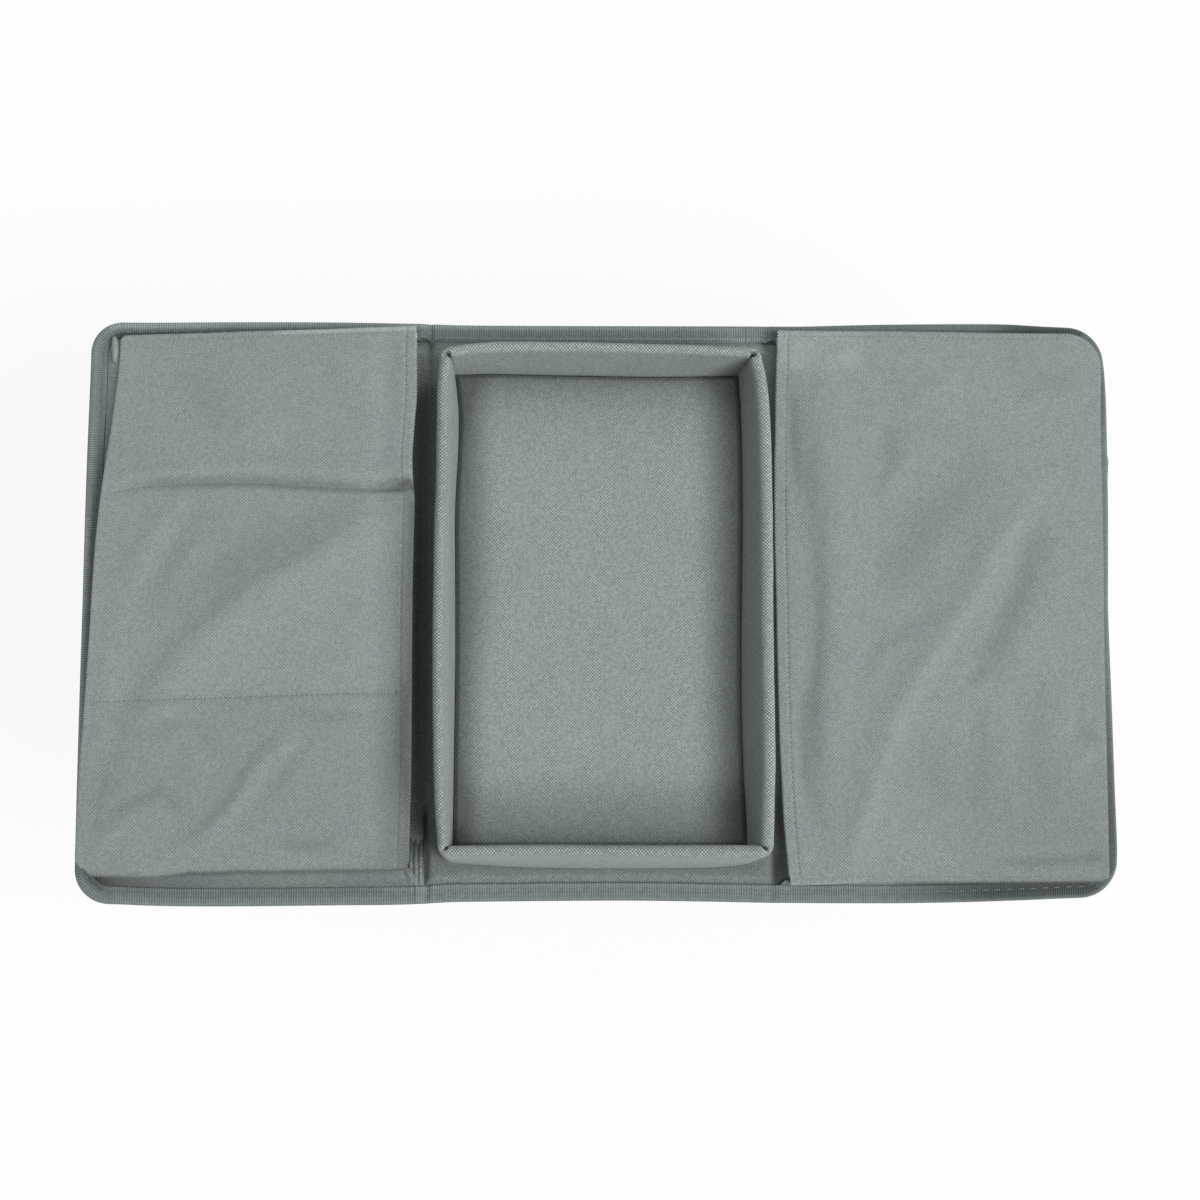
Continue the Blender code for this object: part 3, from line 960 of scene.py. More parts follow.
def tape_soil(x, y, way_x, number):
    """Painted shade on the tape in the narrow strips beside the pockets' faces and at the front left corner.
    """
    inner = fall(number, 3, 5)
    broad = fall(number, 9, 4)
    if x < 0 and y < 0:
        corner = bell(hypot(x + 0.270, y + 0.148), 0.016)
        return max(0.20 * inner * climb(-x, 0.10, 0.03) * (abs(way_x) < 0.5), 0.62 * inner * corner)
    if abs(way_x) > 0.5:
        if x < 0:
            return 0.16 * inner * climb(y, 0.035, 0.040)
        return broad * (0.42 * climb(-y, 0.030, 0.070) + 0.22 * climb(y, 0.090, 0.030))
    if y > 0 and x < 0:
        return 0.58 * inner * climb(-x, 0.112, 0.030)
    if y > 0:
        return mix(inner, broad, climb(x, 0.20, 0.04)) * 0.60 * climb(x, 0.15, 0.09)
    return broad * 0.60 * climb(x, 0.14, 0.08)


def add_tape(node, side, outline):
    """A length of tape with its stitches above and below."""
    name, place = f"{node}_tape", side or "center"
    rows = tape_rows(side, outline)
    numbers = range(len(rows[0]))
    paling, soil = [], []
    for x, y, way_x, _ in outline:
        paling.append([tape_wear(x, y, way_x, number, len(numbers)) for number in numbers])
        soil.append([tape_soil(x, y, way_x, number) for number in numbers])
    # Per point: wear beads with painted highlights, and painted shade.
    tape = add_grid(name, rows, tape_coords(rows, outline), tape_ribs, wear=paling, soil=soil)
    thicken(tape, tape_thickness)
    settle(tape, place, "binding_tape", node)
    for path, ending, up in zip(tape_stitch_paths(side, outline), ("stitches", "stitches_under"), (1, -1)):
        settle(add_stitches(f"{name}_{ending}", [path], tape_stitch, tape_thread, up), place, "binding_tape")


# Tray


def wall_lean(side, share, rise):
    foot = curve(inner_feet[side], share) * (1 - rise) ** 2
    return (curve(rim_leans[side], share) * rise + foot) * millimetre


def wall_extra(side, share, rise):
    """How much thicker than usual a wall is, at its rim and at its foot."""
    foot = curve(outer_feet[side], share) - curve(inner_feet[side], share)
    rim = curve(rim_widths[side], share) - wall_thickness / millimetre
    return (rim * rise + foot * (1 - rise) ** 2) * millimetre


def inner_corner(side, end, rise):
    """Corner of the tray's inner outline between a left or right wall and a front or rear one."""
    x = tray_inner_width / 2 + wall_lean(side, 0 if end == "front" else 1, rise)
    y = tray_inner_depth / 2 + wall_lean(end, 0 if side == "left" else 1, rise)
    return (-x if side == "left" else x), (-y if end == "front" else y)


def ring_stations():
    """Stations round the tray: a straight share of a wall, or an angle round a corner."""
    close = ((0, 0.05, 0.006), (1, 0.05, 0.006))
    runs = []
    for wall, length, corner in (
        ("front", tray_inner_width, ("right", "front", -pi / 2)),
        ("right", tray_inner_depth, ("right", "rear", 0)),
        ("rear", tray_inner_width, ("left", "rear", pi / 2)),
        ("left", tray_inner_depth, ("left", "front", pi)),
    ):
        shares = stations(0, 1, 0.0035 / length, close)
        if wall in ("rear", "left"):
            shares = shares[::-1]
        runs += [(wall, share) for share in shares]
        runs += [(corner, turn) for turn in spread(0, 1, 15)[1:-1]]
    return runs


def ring_point(place, share, through, level):
    """A point of the tray's wall ring, through it from the inner face, and how near a mitre it is."""
    rise = (level - tray_base) / tray_height
    if isinstance(place, tuple):
        side, end, start_angle = place
        x, y = inner_corner(side, end, rise)
        x += inner_turn if side == "left" else -inner_turn
        y += inner_turn if end == "front" else -inner_turn
        angle = start_angle + share * pi / 2
        before, after = (end, side) if start_angle in (-pi / 2, pi / 2) else (side, end)
        corner_shares = {end: int(side == "right"), side: int(end == "rear")}
        extra = [wall_extra(wall, corner_shares[wall], rise) for wall in (before, after)]
        through += mix(*extra, share) * through / wall_thickness
        reach = inner_turn + through
        deep = {("right", "rear"): 1.5, ("left", "rear"): 1.15}.get((side, end), 0.75)
        pinch = bell((share - 0.5) * pi / 2 * max(reach, 0.0025), mitre_pinch * deep)
        return x + reach * cos(angle), y + reach * sin(angle), pinch
    lean = wall_lean(place, share, rise)
    through += wall_extra(place, share, rise) * through / wall_thickness
    if place in ("front", "rear"):
        low, high = inner_corner("left", place, rise)[0], inner_corner("right", place, rise)[0]
        x = mix(low + inner_turn, high - inner_turn, share)
        y = tray_inner_depth / 2 + lean + through
        return x, (-y if place == "front" else y), 0
    low, high = inner_corner(place, "front", rise)[1], inner_corner(place, "rear", rise)[1]
    y = mix(low + inner_turn, high - inner_turn, share)
    x = tray_inner_width / 2 + lean + through
    return (-x if place == "left" else x), y, 0


def wall_section(skin):
    """Section of a padded wall as distance through it and level, a skin in from its outside."""
    radius = wall_thickness / 2 - skin
    spring = rim_level - rim_arch
    inner = [(skin, level) for level in spread(tray_base, spring, 12)[:-1]]
    arch = []
    for angle in spread(pi, 0, 16):
        arch.append((wall_thickness / 2 + radius * cos(angle), spring + (rim_arch - skin) * sin(angle)))
    outer = [(wall_thickness - skin, level) for level in spread(spring, tray_base, 12)[1:]]
    return inner + arch + outer


def wall_soil(place, share, rise, inner_share, pinch):
    """Painted shade in the mitres, along the rim tops, down the left wall's outer side, on the right wall's
    inner face, and as the right wall's shadow in the rear wall's corner.
    """
    soil = pinch * inner_share * climb(rise, 0.35, 0.4)
    soil += {"left": 0.14, "right": 0.05, "front": 0.17}.get(place, 0.05) * climb(rise, 0.88, 0.06)
    if place == "left":
        soil += 0.16 * (1 - inner_share) * climb(rise, 0.7, 0.2)
    if place == "right":
        soil += 0.14 * inner_share * fall(rise, 0.80, 0.1)
    if place == "rear":
        reach = 0.0035 + 0.022 * max(1 - rise / 0.9, 0) ** 0.7
        near_corner = 1 - ease((1 - share) * tray_inner_width / reach)
        soil += 0.48 * inner_share * near_corner * fall(rise, 0.84, 0.1)
    front_corner = isinstance(place, tuple) and place[1] == "front"
    return min(soil, 0.55 if front_corner else 0.82)


def ring_rows(skin, uneven):
    """Rows up and over the wall, each running right round the tray."""
    rows, paling, soil = [], [], []
    places = ring_stations()
    for through, level in wall_section(skin):
        rise = (level - tray_base) / tray_height
        belly = 0.0005 * sin(pi * rise) * (-1 if through < wall_thickness / 2 else 1)
        inner_share = fall(through / wall_thickness, 0.15, 0.75)
        row, row_wear, row_soil = [], [], []
        for place, share in places:
            x, y, pinch = ring_point(place, share, through + belly * uneven, level)
            sway = 0.00028 * uneven * rise
            x += sway * waver(x, y, 0.021, level * 60)
            y += sway * waver(x, y, 0.021, 9 + level * 60)
            sink = 0.0062 * pinch * inner_share * climb(rise, 0.5, 0.4)
            ripple = 0.00022 * uneven * rise * waver(x, y, 0.014, 5)
            row.append((x, y, level - sink + ripple * climb(rise, 0.6, 0.4)))
            start, reach = (0.45, 0.35) if place == "left" and inner_share > 0.5 else (0.89, 0.06)
            row_wear.append(climb(rise, start, reach) * (1 - pinch))
            row_soil.append(wall_soil(place, share, rise, inner_share, pinch))
        rows.append(row)
        paling.append(row_wear)
        soil.append(row_soil)
    return rows, paling, soil


def ring_coords(rows):
    """Places on the ring's cloth: round the tray, and the true distance from the rim at every station."""
    places = [u for u, _ in path_coords(rows, closed=True)[0]]
    crest = len(rows) // 2
    columns = []
    for column in zip(*[row + row[:1] for row in rows]):
        reached = measured(column)
        columns.append([distance - reached[crest] for distance in reached])
    return [[(u, column[number]) for u, column in zip(places, columns)] for number in range(len(rows))]


def add_tray_walls():
    rows, paling, soil = ring_rows(cloth / 2, 1)
    coords = ring_coords(rows)
    # The sleeve carries its wear beads and its painted shade per point.
    sleeve = add_grid("tray_wall_cloth", rows, coords, tray_weave, closed=True, wear=paling, soil=soil)
    thicken(sleeve, cloth)
    closed_rows = [row + row[:1] for row in rows]
    sides = ("left", "right", "front", "rear")
    settle(sleeve, "center", "tray_cloth", *[f"tray_wall_{side}" for side in sides])
    rows = ring_rows(cloth + clearance, 0)[0]
    rows.append(rows[0])
    foam = add_grid("tray_wall_foam", rows, path_coords(rows, closed=True), foam_cells, closed=True)
    settle(foam, "center", "foam", *[f"tray_wall_{side}_core" for side in sides])


def floor_soil(x, y, half_x, half_y):
    """Painted shade towards the walls: broad at the left and the front, deepest at the right."""
    left, right, front, rear = x + half_x, half_x - x, y + half_y, half_y - y
    left_reach = track(((-0.13, 0.018), (-0.06, 0.019), (0.01, 0.027), (0.06, 0.026), (0.13, 0.022)), y)
    soil = 0.60 * (1 - ease(left / left_reach))
    soil += 0.42 * fall(right, 0.004, 0.024)
    soil += 0.54 * fading(rear, 0.015)
    soil += 0.27 * bell(front - 0.018, 0.016)
    return min(soil, 0.66)


def floor_stations(half):
    """Places across the tray's floor, closer together where it rises from the walls' feet."""
    return stations(-half, half, grid_step, ((-half, 0.004, 0.0005), (half, 0.004, 0.0005)))


def add_tray_floor():
    half_x, half_y = tray_inner_width / 2 - clearance, tray_inner_depth / 2 - clearance
    rows, soil = [], []
    for x in floor_stations(half_x):
        row, row_soil = [], []
        for y in floor_stations(half_y):
            inside = min(half_x - abs(x), half_y - abs(y))
            soft = 0.00016 * (1 + waver(x, y, 0.05, 2)) * ease(inside / 0.02)
            level = mix(tray_base + cloth / 2, floor_cover_level + soft, ease(inside / 0.0026))
            foot = curve(inner_feet["left" if x < 0 else "right"], y / tray_inner_depth + 0.5) * millimetre
            end = curve(inner_feet["rear" if y > 0 else "front"], x / tray_inner_width + 0.5) * millimetre
            wide = x * (1 + foot / half_x * climb(abs(x), 0.066, 0.010))
            deep = y * (1 + end / half_y * climb(abs(y), 0.118, 0.010))
            row.append((wide, deep, level))
            row_soil.append(floor_soil(x, y, half_x, half_y))
        rows.append(row)
        soil.append(row_soil)
    # The floor carries painted shade towards the walls per point.
    floor = thicken(add_grid("tray_floor_cloth", rows, plan_coords(rows), tray_weave, soil=soil), cloth)
    settle(floor, "center", "tray_cloth", "tray_floor_cover")
    show_board("tray_floor_board")


# Pockets: u runs from the outer edge, 0, to the mouth, 1, and v from the front, 0, to the rear, 1.
# Edges are in millimetres: (y, distance from the mat's middle) or (that distance, y). Seams are (x, y).
# Folds are lines in millimetres with a height and a softness to the left and right of the line.

left_pocket = {
    "side": -1,
    "prefix": "left",
    "across": 0.1735,
    "along": 0.2965,
    "mouth": (
        (-143, 102.3), (-119, 102.0), (-97, 101.6), (-54, 101.6), (0, 101.6), (33, 101.2), (55, 100.9),
        (67, 101.8), (78, 102.2), (89, 101.7), (100, 101.0), (111, 100.1), (122, 100.0), (139, 100.2),
        (152, 100.0),
    ),
    "outer": (
        (-143, 276.9), (-108, 276.3), (-86, 275.8), (-64, 274.8), (-20, 273.1), (13, 272.2), (35, 271.3),
        (55, 269.9), (75, 267.9), (97, 265.1), (126, 262.2), (138, 261.4), (152, 261.4),
    ),
    "front": (
        (101, -144.4), (117, -144.6), (143, -144.6), (159, -144.8), (174, -145.2), (190, -144.9),
        (202, -145.6), (211, -145.6), (219, -145.9), (227, -147.2), (238, -148.3), (250, -148.0),
        (276, -147.2),
    ),
    "rear": ((99, 152.1), (125, 151.9), (150, 151.4), (191, 151.2), (218, 150.8), (246, 150.7), (264, 150.6)),
    "rise_mouth": (0.0228, 0.0198),
    "rise_outer": (0.0215, 0.0042),
    "corner": (0.0072, 0.0030),
    "corner_cut": 0.9,
    "seams": (
        ((-276, -54.6), (-250, -53.9), (-213, -52.8), (-160, -51.1), (-100, -50.0)),
        (
            (-273, 60.0), (-264, 61.5), (-248, 64.6), (-221, 66.4), (-194, 66.7), (-162, 64.6), (-140, 63.2),
            (-120, 62.7), (-100, 62.9),
        ),
    ),
    "folds": (
        (((-272, 69), (-237, 73), (-194, 74.5), (-151, 72.5), (-112, 70)), 1.6, 6, 4),
        (((-213, 60), (-226, 36), (-250, -6)), -0.9, 7, 7),
        (((-222, 64), (-239, 43), (-253, 12), (-259, -12)), 0.8, 6, 7),
        (((-106, 57), (-152, 24), (-188, 4), (-220, -25), (-238, -50), (-254, -84)), 3.3, 17, 9),
        (((-124, 62), (-160, 45), (-189, 27), (-216, 8)), -1.4, 10, 10),
        (((-176, 56), (-192, 36), (-216, 14), (-236, -8)), -1.0, 8, 10),
        (((-172, -59), (-146, -60), (-116, -61)), -1.0, 4, 4),
        (((-246, -80), (-224, -73), (-204, -90)), 1.2, 6, 6),
        (((-244, -66), (-227, -63), (-214, -73), (-204, -84)), -1.2, 4, 4),
        (((-258, -66), (-268, -98), (-275, -128)), -1.0, 8, 6),
        (((-262, -114), (-248, -107), (-234, -99)), -1.1, 4, 4),
        (((-160, -66), (-183, -90), (-196, -112), (-209, -126), (-232, -138)), 1.8, 5.5, 6),
        (((-165, -68), (-182, -80), (-199, -107), (-211, -120), (-232, -136)), -0.7, 4.5, 4.5),
        (((-153, -74), (-166, -88), (-176, -102), (-186, -112)), -0.7, 4.5, 5),
        (((-240, -100), (-222, -112)), -0.8, 4, 4),
        (((-268, -132), (-246, -114)), 1.0, 4, 4),
        (((-178, -134), (-156, -137), (-136, -143)), 1.2, 3.5, 3.5),
        (((-174, -130), (-158, -132), (-140, -129)), -1.2, 5, 4.5),
        (((-262, -96), (-270, -62), (-264, -10)), 0.8, 9, 9),
        (((-150, 140), (-128, 112), (-108, 84)), 1.1, 8, 8),
        (((-236, 136), (-214, 112), (-196, 92)), -0.9, 9, 9),
        (((-122, 62.6), (-113, 65.4), (-103, 67.4), (-97, 67)), 1.1, 1.3, 1.5),
        (((-124, 62.0), (-111, 62.2), (-98, 62.0)), -1.4, 1.4, 1.3),
        (((-108, -110), (-108, -60), (-109, 0), (-108, 50)), -0.8, 5, 5),
    ),
    "sag": 0.0014,
}
right_pocket = {
    "side": 1,
    "prefix": "right",
    "across": 0.1765,
    "along": 0.3035,
    "mouth": (
        (-150, 102.8), (-138, 101.9), (-128, 101.0), (-117, 100.1), (-106, 99.5), (-95, 99.1), (-73, 98.2),
        (-24, 97.5), (14, 97.2), (36, 96.9), (59, 97.0), (81, 97.3), (98, 97.8), (115, 98.2), (132, 98.9),
        (143, 99.4), (154, 99.2),
    ),
    "outer": (
        (-150, 272.2), (-117, 272.4), (-73, 272.7), (-29, 273.0), (0, 273.5), (26, 274.1), (59, 274.5),
        (93, 274.7), (115, 275.2), (132, 276.0), (152, 276.2),
    ),
    "front": (
        (100, -150.5), (115, -150.4), (140, -149.2), (165, -149.4), (190, -149.7), (216, -149.6),
        (240, -149.4), (275, -149.2),
    ),
    "rear": ((98, 153.5), (130, 153.2), (166, 153.2), (222, 152.4), (250, 152.3), (277, 152.2)),
    "rise_mouth": (0.0078, 0.0078),
    "rise_outer": (0.0080, 0.0070),
    "corner": (0.0040, 0.0185),
    "corner_cut": 0.0,
    "seams": (),
    "folds": (
        (
            ((250, 78), (240, 66), (219, 38), (204, 6), (188, -16), (162, -57), (147, -98), (133, -138)),
            2.4, 5, 11,
        ),
        (((240, 50), (228, 14), (216, -12), (203, -38)), -2.2, 9, 6),
        (((208, -34), (202, -38), (197, -43)), -1.2, 3.5, 3),
        (((214, 84), (176, 48), (150, 10)), -1.7, 13, 13),
        (((158, 102), (157, 88), (160, 72)), -1.2, 6, 6),
        (((188, -6), (156, -27), (144, -48)), 1.1, 6, 5),
        (((204, -48), (204, -68), (200, -112)), -0.8, 7, 7),
        (((274, -70), (254, -90)), 0.8, 5, 5),
        (((254, -66), (264, -71), (272, -76)), -1.3, 5, 5),
        (((206, -139), (240, -137.5), (278, -135)), -1.5, 2.8, 2.8),
        (((198, 130), (168, 110)), 1.0, 6, 6),
        (((216, 112), (276, 120)), 0.9, 6, 6),
        (((240, 130), (262, 128)), -0.9, 5, 5),
        (((176, 98), (154, 58)), 0.8, 6, 6),
        (((148, 154), (122, 132)), 0.9, 5, 5),
        (((121, 136), (124, 90), (127, 20), (125, -40), (121, -92), (126, -128)), 2.4, 15, 10),
        (((103, 133), (105, 112), (105, 84), (110, 60)), -2.0, 5, 5),
        (((118, 40), (118.5, -12), (113, -50), (117, -100)), -0.9, 4, 5),
        (((107, -40), (109, -56), (109, -90), (115, -118)), -1.5, 4.5, 4.5),
        (((240, -28), (232, -70), (238, -112)), -0.9, 9, 9),
        (((172, -70), (186, -112)), -0.9, 8, 8),
        (((152, -92), (143, -118), (134, -146)), 1.3, 7, 8),
        (((97, -64), (104, -65.5), (112, -66)), -0.6, 1.2, 1.2),
    ),
    "sag": 0.0006,
}


fold_boxes, fold_sums = {}, {}


def fold_height(fold, x, y):
    """Height in millimetres that one fold adds at a plan point in millimetres."""
    line, height, left_softness, right_softness = fold
    lengths = [hypot(end[0] - start[0], end[1] - start[1]) for start, end in zip(line, line[1:])]
    total = sum(lengths)
    nearest, aside, place, passed = 1e9, 0, 0, 0
    for (start, end), length in zip(zip(line, line[1:]), lengths):
        way_x, way_y = (end[0] - start[0]) / length, (end[1] - start[1]) / length
        along = (x - start[0]) * way_x + (y - start[1]) * way_y
        along = min(max(along, 0), length)
        off_x, off_y = x - start[0] - along * way_x, y - start[1] - along * way_y
        distance = hypot(off_x, off_y)
        if distance < nearest:
            nearest, place = distance, (passed + along) / total
            aside = way_x * off_y - way_y * off_x
        passed += length
    softness = left_softness if aside > 0 else right_softness
    if nearest > 3 * softness:
        return 0
    return height * bell(nearest, softness) * sin(pi * min(max(place, 0), 1)) ** 0.6


def plan_lengths(pocket):
    """The face's size from its outer edge to its mouth, and from its front to its rear."""
    return pocket["across"], pocket["along"]


def round_plan(pocket, u, v, radii, cut):
    """Move a point of the square plan so that its two outer corners become round."""
    across, along = plan_lengths(pocket)
    near, far = u * across, v * along
    if v <= 0.5:
        near, far = round_corner(near, far, radii[0], cut)
    else:
        near, far = round_corner(near, along - far, radii[1])
        far = along - far
    return near / across, far / along


def seam_height(pocket, u, x, y):
    """How far the sewn dividers draw the face down, in metres."""
    if not pocket["seams"]:
        return 0
    front, rear = [y - curve(seam, x / millimetre) * millimetre for seam in pocket["seams"]]
    deep = track(((0, 0.0002), (0.1, 0.0007), (0.35, 0.0020), (0.8, 0.0024), (1, 0.0015)), u)
    height = -deep * bell(rear, 0.0054 if rear > 0 else 0.0026)
    height -= 0.0004 * bell(front, 0.0038) * ease(u / 0.3)
    return height - 0.0002 * bell(front, 0.0006) - 0.0004 * ease(u / 0.3) * bell(rear, 0.0006)


def compartment_share(pocket, x, y):
    """How far a point lies across its own compartment, from 0 to 1."""
    limits = [curve(pocket["front"], abs(x) / millimetre)]
    limits += [curve(seam, x / millimetre) for seam in pocket["seams"]]
    limits.append(curve(pocket["rear"], abs(x) / millimetre))
    for low, high in zip(limits, limits[1:]):
        if y / millimetre <= high:
            return min(max((y / millimetre - low) / (high - low), 0), 1)
    return 1


def plan_point(pocket, u, v):
    """Plan place of the face at u and v: distance from the mat's middle, and y."""
    nearly = mix(-147, 152, v)
    out = mix(curve(pocket["outer"], nearly), curve(pocket["mouth"], nearly), u)
    y = mix(curve(pocket["front"], out), curve(pocket["rear"], out), v)
    return out * millimetre, y * millimetre


def seam_share(pocket, seam, u):
    """The v at which a seam crosses the face at u."""
    v = 0.5
    for _ in range(3):
        out, _ = plan_point(pocket, u, v)
        low, high = [curve(pocket[edge], out / millimetre) for edge in ("front", "rear")]
        v = (curve(seam, pocket["side"] * out / millimetre) - low) / (high - low)
    return v


def level_face(pocket, u, v, drop=0):
    """A point of the face inside its edges, or that far below it."""
    u, v = round_plan(pocket, u, v, pocket["corner"], pocket["corner_cut"])
    out, y = plan_point(pocket, u, v)
    x = pocket["side"] * out
    rise = mix(mix(*pocket["rise_outer"], v), mix(*pocket["rise_mouth"], v), u)
    share = compartment_share(pocket, x, y)
    level = cover_top + rise + face_crown * sin(pi * u) * 4 * share * (1 - share) - cloth / 2
    level += seam_height(pocket, u, x, y)
    across, along = plan_lengths(pocket)
    from_edge = min(u * across, v * along, (1 - v) * along)
    from_mouth = (1 - u) * across
    held = mix(0.35, 1, ease(from_mouth / 0.008))
    level += fold_sum(pocket, x, y) * millimetre * ease(from_edge / 0.012) * held
    level -= pocket["sag"] * bell(from_mouth - 0.016, 0.008) * ease(from_edge / 0.01)
    level -= 0.00035 * bell(from_mouth - hem_stitch, 0.0007)
    from_end = min(v, 1 - v) * along
    level -= 0.00015 * bell(from_end - edge_stitch, 0.0006)
    level += 0.00012 * waver(x, y, 0.006, 4) * ease(from_edge / 0.004)
    return x, y, level - drop


def way_in(pocket, u, v):
    """Plan direction from a point of the face's edge towards its inside."""
    across, along = plan_lengths(pocket)
    margin = corner_radius / along
    edge = level_face(pocket, u, v)
    inside = level_face(pocket, max(u, corner_radius / across), min(max(v, margin), 1 - margin))
    dx, dy = inside[0] - edge[0], inside[1] - edge[1]
    length = hypot(dx, dy)
    return dx / length, dy / length


def face_point(pocket, u, v):
    """A point of the face; beyond its edge the cloth rolls down and under."""
    across, along = plan_lengths(pocket)
    over = max(-u * across, -v * along, (v - 1) * along, 0)
    u, v = max(u, 0), min(max(v, 0), 1)
    x, y, level = level_face(pocket, u, v)
    if over > 0:
        in_x, in_y = way_in(pocket, u, v)
        turn = over / edge_roll
        x -= in_x * edge_roll * sin(turn)
        y -= in_y * edge_roll * sin(turn)
        level -= edge_roll * (1 - cos(turn))
    return x, y, level


def face_stations(pocket):
    """u and v of the face's columns and rows, closer together at seams, stitches and edges."""
    across, along = plan_lengths(pocket)
    middle = edge_roll_length / 2
    roll, stitched = (middle, 0.0004), (0.0026, 0.0005)
    fine = ((-middle, *roll), (0.0022, *stitched), (across - 0.0055, 0.0055, 0.0004))
    us = [place / across for place in stations(-edge_roll_length, across, face_step, fine)]
    fine = [(seam_share(pocket, seam, 0.5) * along, 0.0085, 0.0005) for seam in pocket["seams"]]
    fine += [(-middle, *roll), (0.0022, *stitched), (along - 0.0022, *stitched), (along + middle, *roll)]
    places = stations(-edge_roll_length, along + edge_roll_length, face_step, fine)
    return us, [place / along for place in places]


def hem_rows(pocket, vs):
    """The cloth turned under at the mouth: round the fold, then back under the face."""
    across, length = plan_lengths(pocket)
    end = hem_end / length
    shares = [mix(end, 1 - end, (v - vs[0]) / (vs[-1] - vs[0])) for v in vs]
    rows = []
    for angle in spread(0, pi, 7)[1:]:
        row = []
        for v in shares:
            x, y, level = level_face(pocket, 1, v)
            x -= pocket["side"] * hem_radius * sin(angle)
            row.append((x, y, level - hem_radius * (1 - cos(angle))))
        rows.append(row)
    for inset in spread(0, hem_width, 5)[1:]:
        rows.append([level_face(pocket, 1 - inset / across, v, 2 * hem_radius) for v in shares])
    return rows


def fold_bounds(fold):
    """The plan box outside which a fold adds nothing."""
    line, _, left_softness, right_softness = fold
    reach = 3 * max(left_softness, right_softness)
    xs, ys = zip(*line)
    return min(xs) - reach, max(xs) + reach, min(ys) - reach, max(ys) + reach


def fold_sum(pocket, x, y):
    """Height in millimetres that all folds add at a plan point."""
    key = (pocket["side"], x, y)
    if key not in fold_sums:
        if pocket["side"] not in fold_boxes:
            fold_boxes[pocket["side"]] = [(fold, fold_bounds(fold)) for fold in pocket["folds"]]
        total, wide, deep = 0, x / millimetre, y / millimetre
        for fold, (left, right, low, high) in fold_boxes[pocket["side"]]:
            if left < wide < right and low < deep < high:
                total += fold_height(fold, wide, deep)
        fold_sums[key] = total
    return fold_sums[key]


def face_wear(pocket, u):
    """Paler beads along the folded mouth."""
    return 0.4 * bell((1 - u) * pocket["across"], 0.0012)


def face_soil(pocket, u, v):
    """Painted shade in the fold hollows, at the seams, beside the mouth and at and under the edges; painted
    light near the rear edge and under the left face's outer edge.
    """
    across, along = plan_lengths(pocket)
    under_front, under_outer = ease(-v * along / 0.0008), ease(-u * across / 0.0008)
    u, v = max(u, 0), min(max(v, 0), 1)
    x, y, _ = level_face(pocket, u, v)
    from_mouth, from_front, from_rear = (1 - u) * across, v * along, (1 - v) * along
    soil = 0.07 * max(-fold_sum(pocket, x, y), 0)
    if pocket["seams"]:
        front, rear = [y - curve(seam, x / millimetre) * millimetre for seam in pocket["seams"]]
        along_seam = ease(u / 0.2) * (1 - 0.6 * bell(u - 0.86, 0.05))
        soil += 0.24 * along_seam * bell(rear - 0.0016, 0.0026) + 0.05 * ease(u / 0.3) * bell(front, 0.0030)
        soil += 0.50 * bell(hypot((x + 0.1035) / 2.2, y - 0.0655), 0.0024)
        lit = 1 - 0.5 * climb(-y, 0.080, 0.045)
        soil += 0.50 * lit * fading(from_mouth, 0.0060) * fall(y, 0.050, 0.020)
        soil += 0.22 * lit * bell(from_mouth, 0.0150) * climb(-y, 0.020, 0.060)
        soil += 0.08 * climb(-y, 0.020, 0.090)
        soil += 0.14 * bell(from_front, 0.0006) + 0.45 * under_front - 0.25 * under_outer
        soil -= 0.40 * bell(from_rear - 0.0003, 0.0010) * ease((0.182 + x) / 0.012)
        soil = min(soil, 0.56)
    else:
        soil += 0.20 * under_outer
        soil += (0.14 * bell(from_front, 0.0006) + 0.45 * under_front) * climb(x, 0.13, 0.06)
        soil -= 0.12 * climb(y, 0.128, 0.008) * fall(x, 0.138, 0.012)
        soil += 0.10 * climb(-y, 0.060, 0.060) * climb(x, 0.17, 0.04)
    return soil


def straight(start, end, steps):
    """Pairs of u and v along a straight line."""
    return [(mix(start[0], end[0], share), mix(start[1], end[1], share)) for share in spread(0, 1, steps)]


def on_face(pocket, line, lift):
    """Points that far above the face's middle at pairs of u and v."""
    points = [level_face(pocket, u, v) for u, v in line]
    return [(x, y, level + lift) for x, y, level in points]


def add_face_thread(pocket, wing):
    """Stitching of the hem, the turned edges, the divider seams and their bar tacks."""
    across, along = plan_lengths(pocket)
    hem_u, inset_v = 1 - hem_stitch / across, edge_stitch / along
    seams = [straight((hem_u, 0.012), (hem_u, 0.988), 150)]
    for seam in pocket["seams"]:
        seams.append([(u, seam_share(pocket, seam, u)) for u in spread(0.03, 0.975, 90)])
    front_start = 0.86 if pocket["seams"] else 0.06
    edges = [
        straight((front_start, inset_v), (0.985, inset_v), 90),
        straight((0.12, 1 - inset_v), (0.985, 1 - inset_v), 90),
    ]
    tacks = []
    for v in [seam_share(pocket, seam, 0.98) for seam in pocket["seams"]]:
        for number in range(12):
            u = 1 - mix(0.0016, 0.0068, number / 11) / across
            lean, half = 0.0008 / across * (-1 if number % 2 else 1), 0.0013 / along
            tacks.append(straight((u - lean, v - half), (u + lean, v + half), 4))
    for ending, lines, stitch, thread, lift in (
        ("seam_thread", seams, seam_stitch, seam_thread, cloth / 2),
        ("edge_thread", edges, seam_stitch, pale_thread, cloth / 2),
        ("bar_tacks", tacks, tack_stitch, seam_thread, cloth / 2 + 0.0002),
    ):
        if lines:
            paths = [on_face(pocket, line, lift) for line in lines]
            piece = add_stitches(f"{pocket['prefix']}_pocket_{ending}", paths, stitch, thread)
            settle(piece, wing, "pocket_cloth")


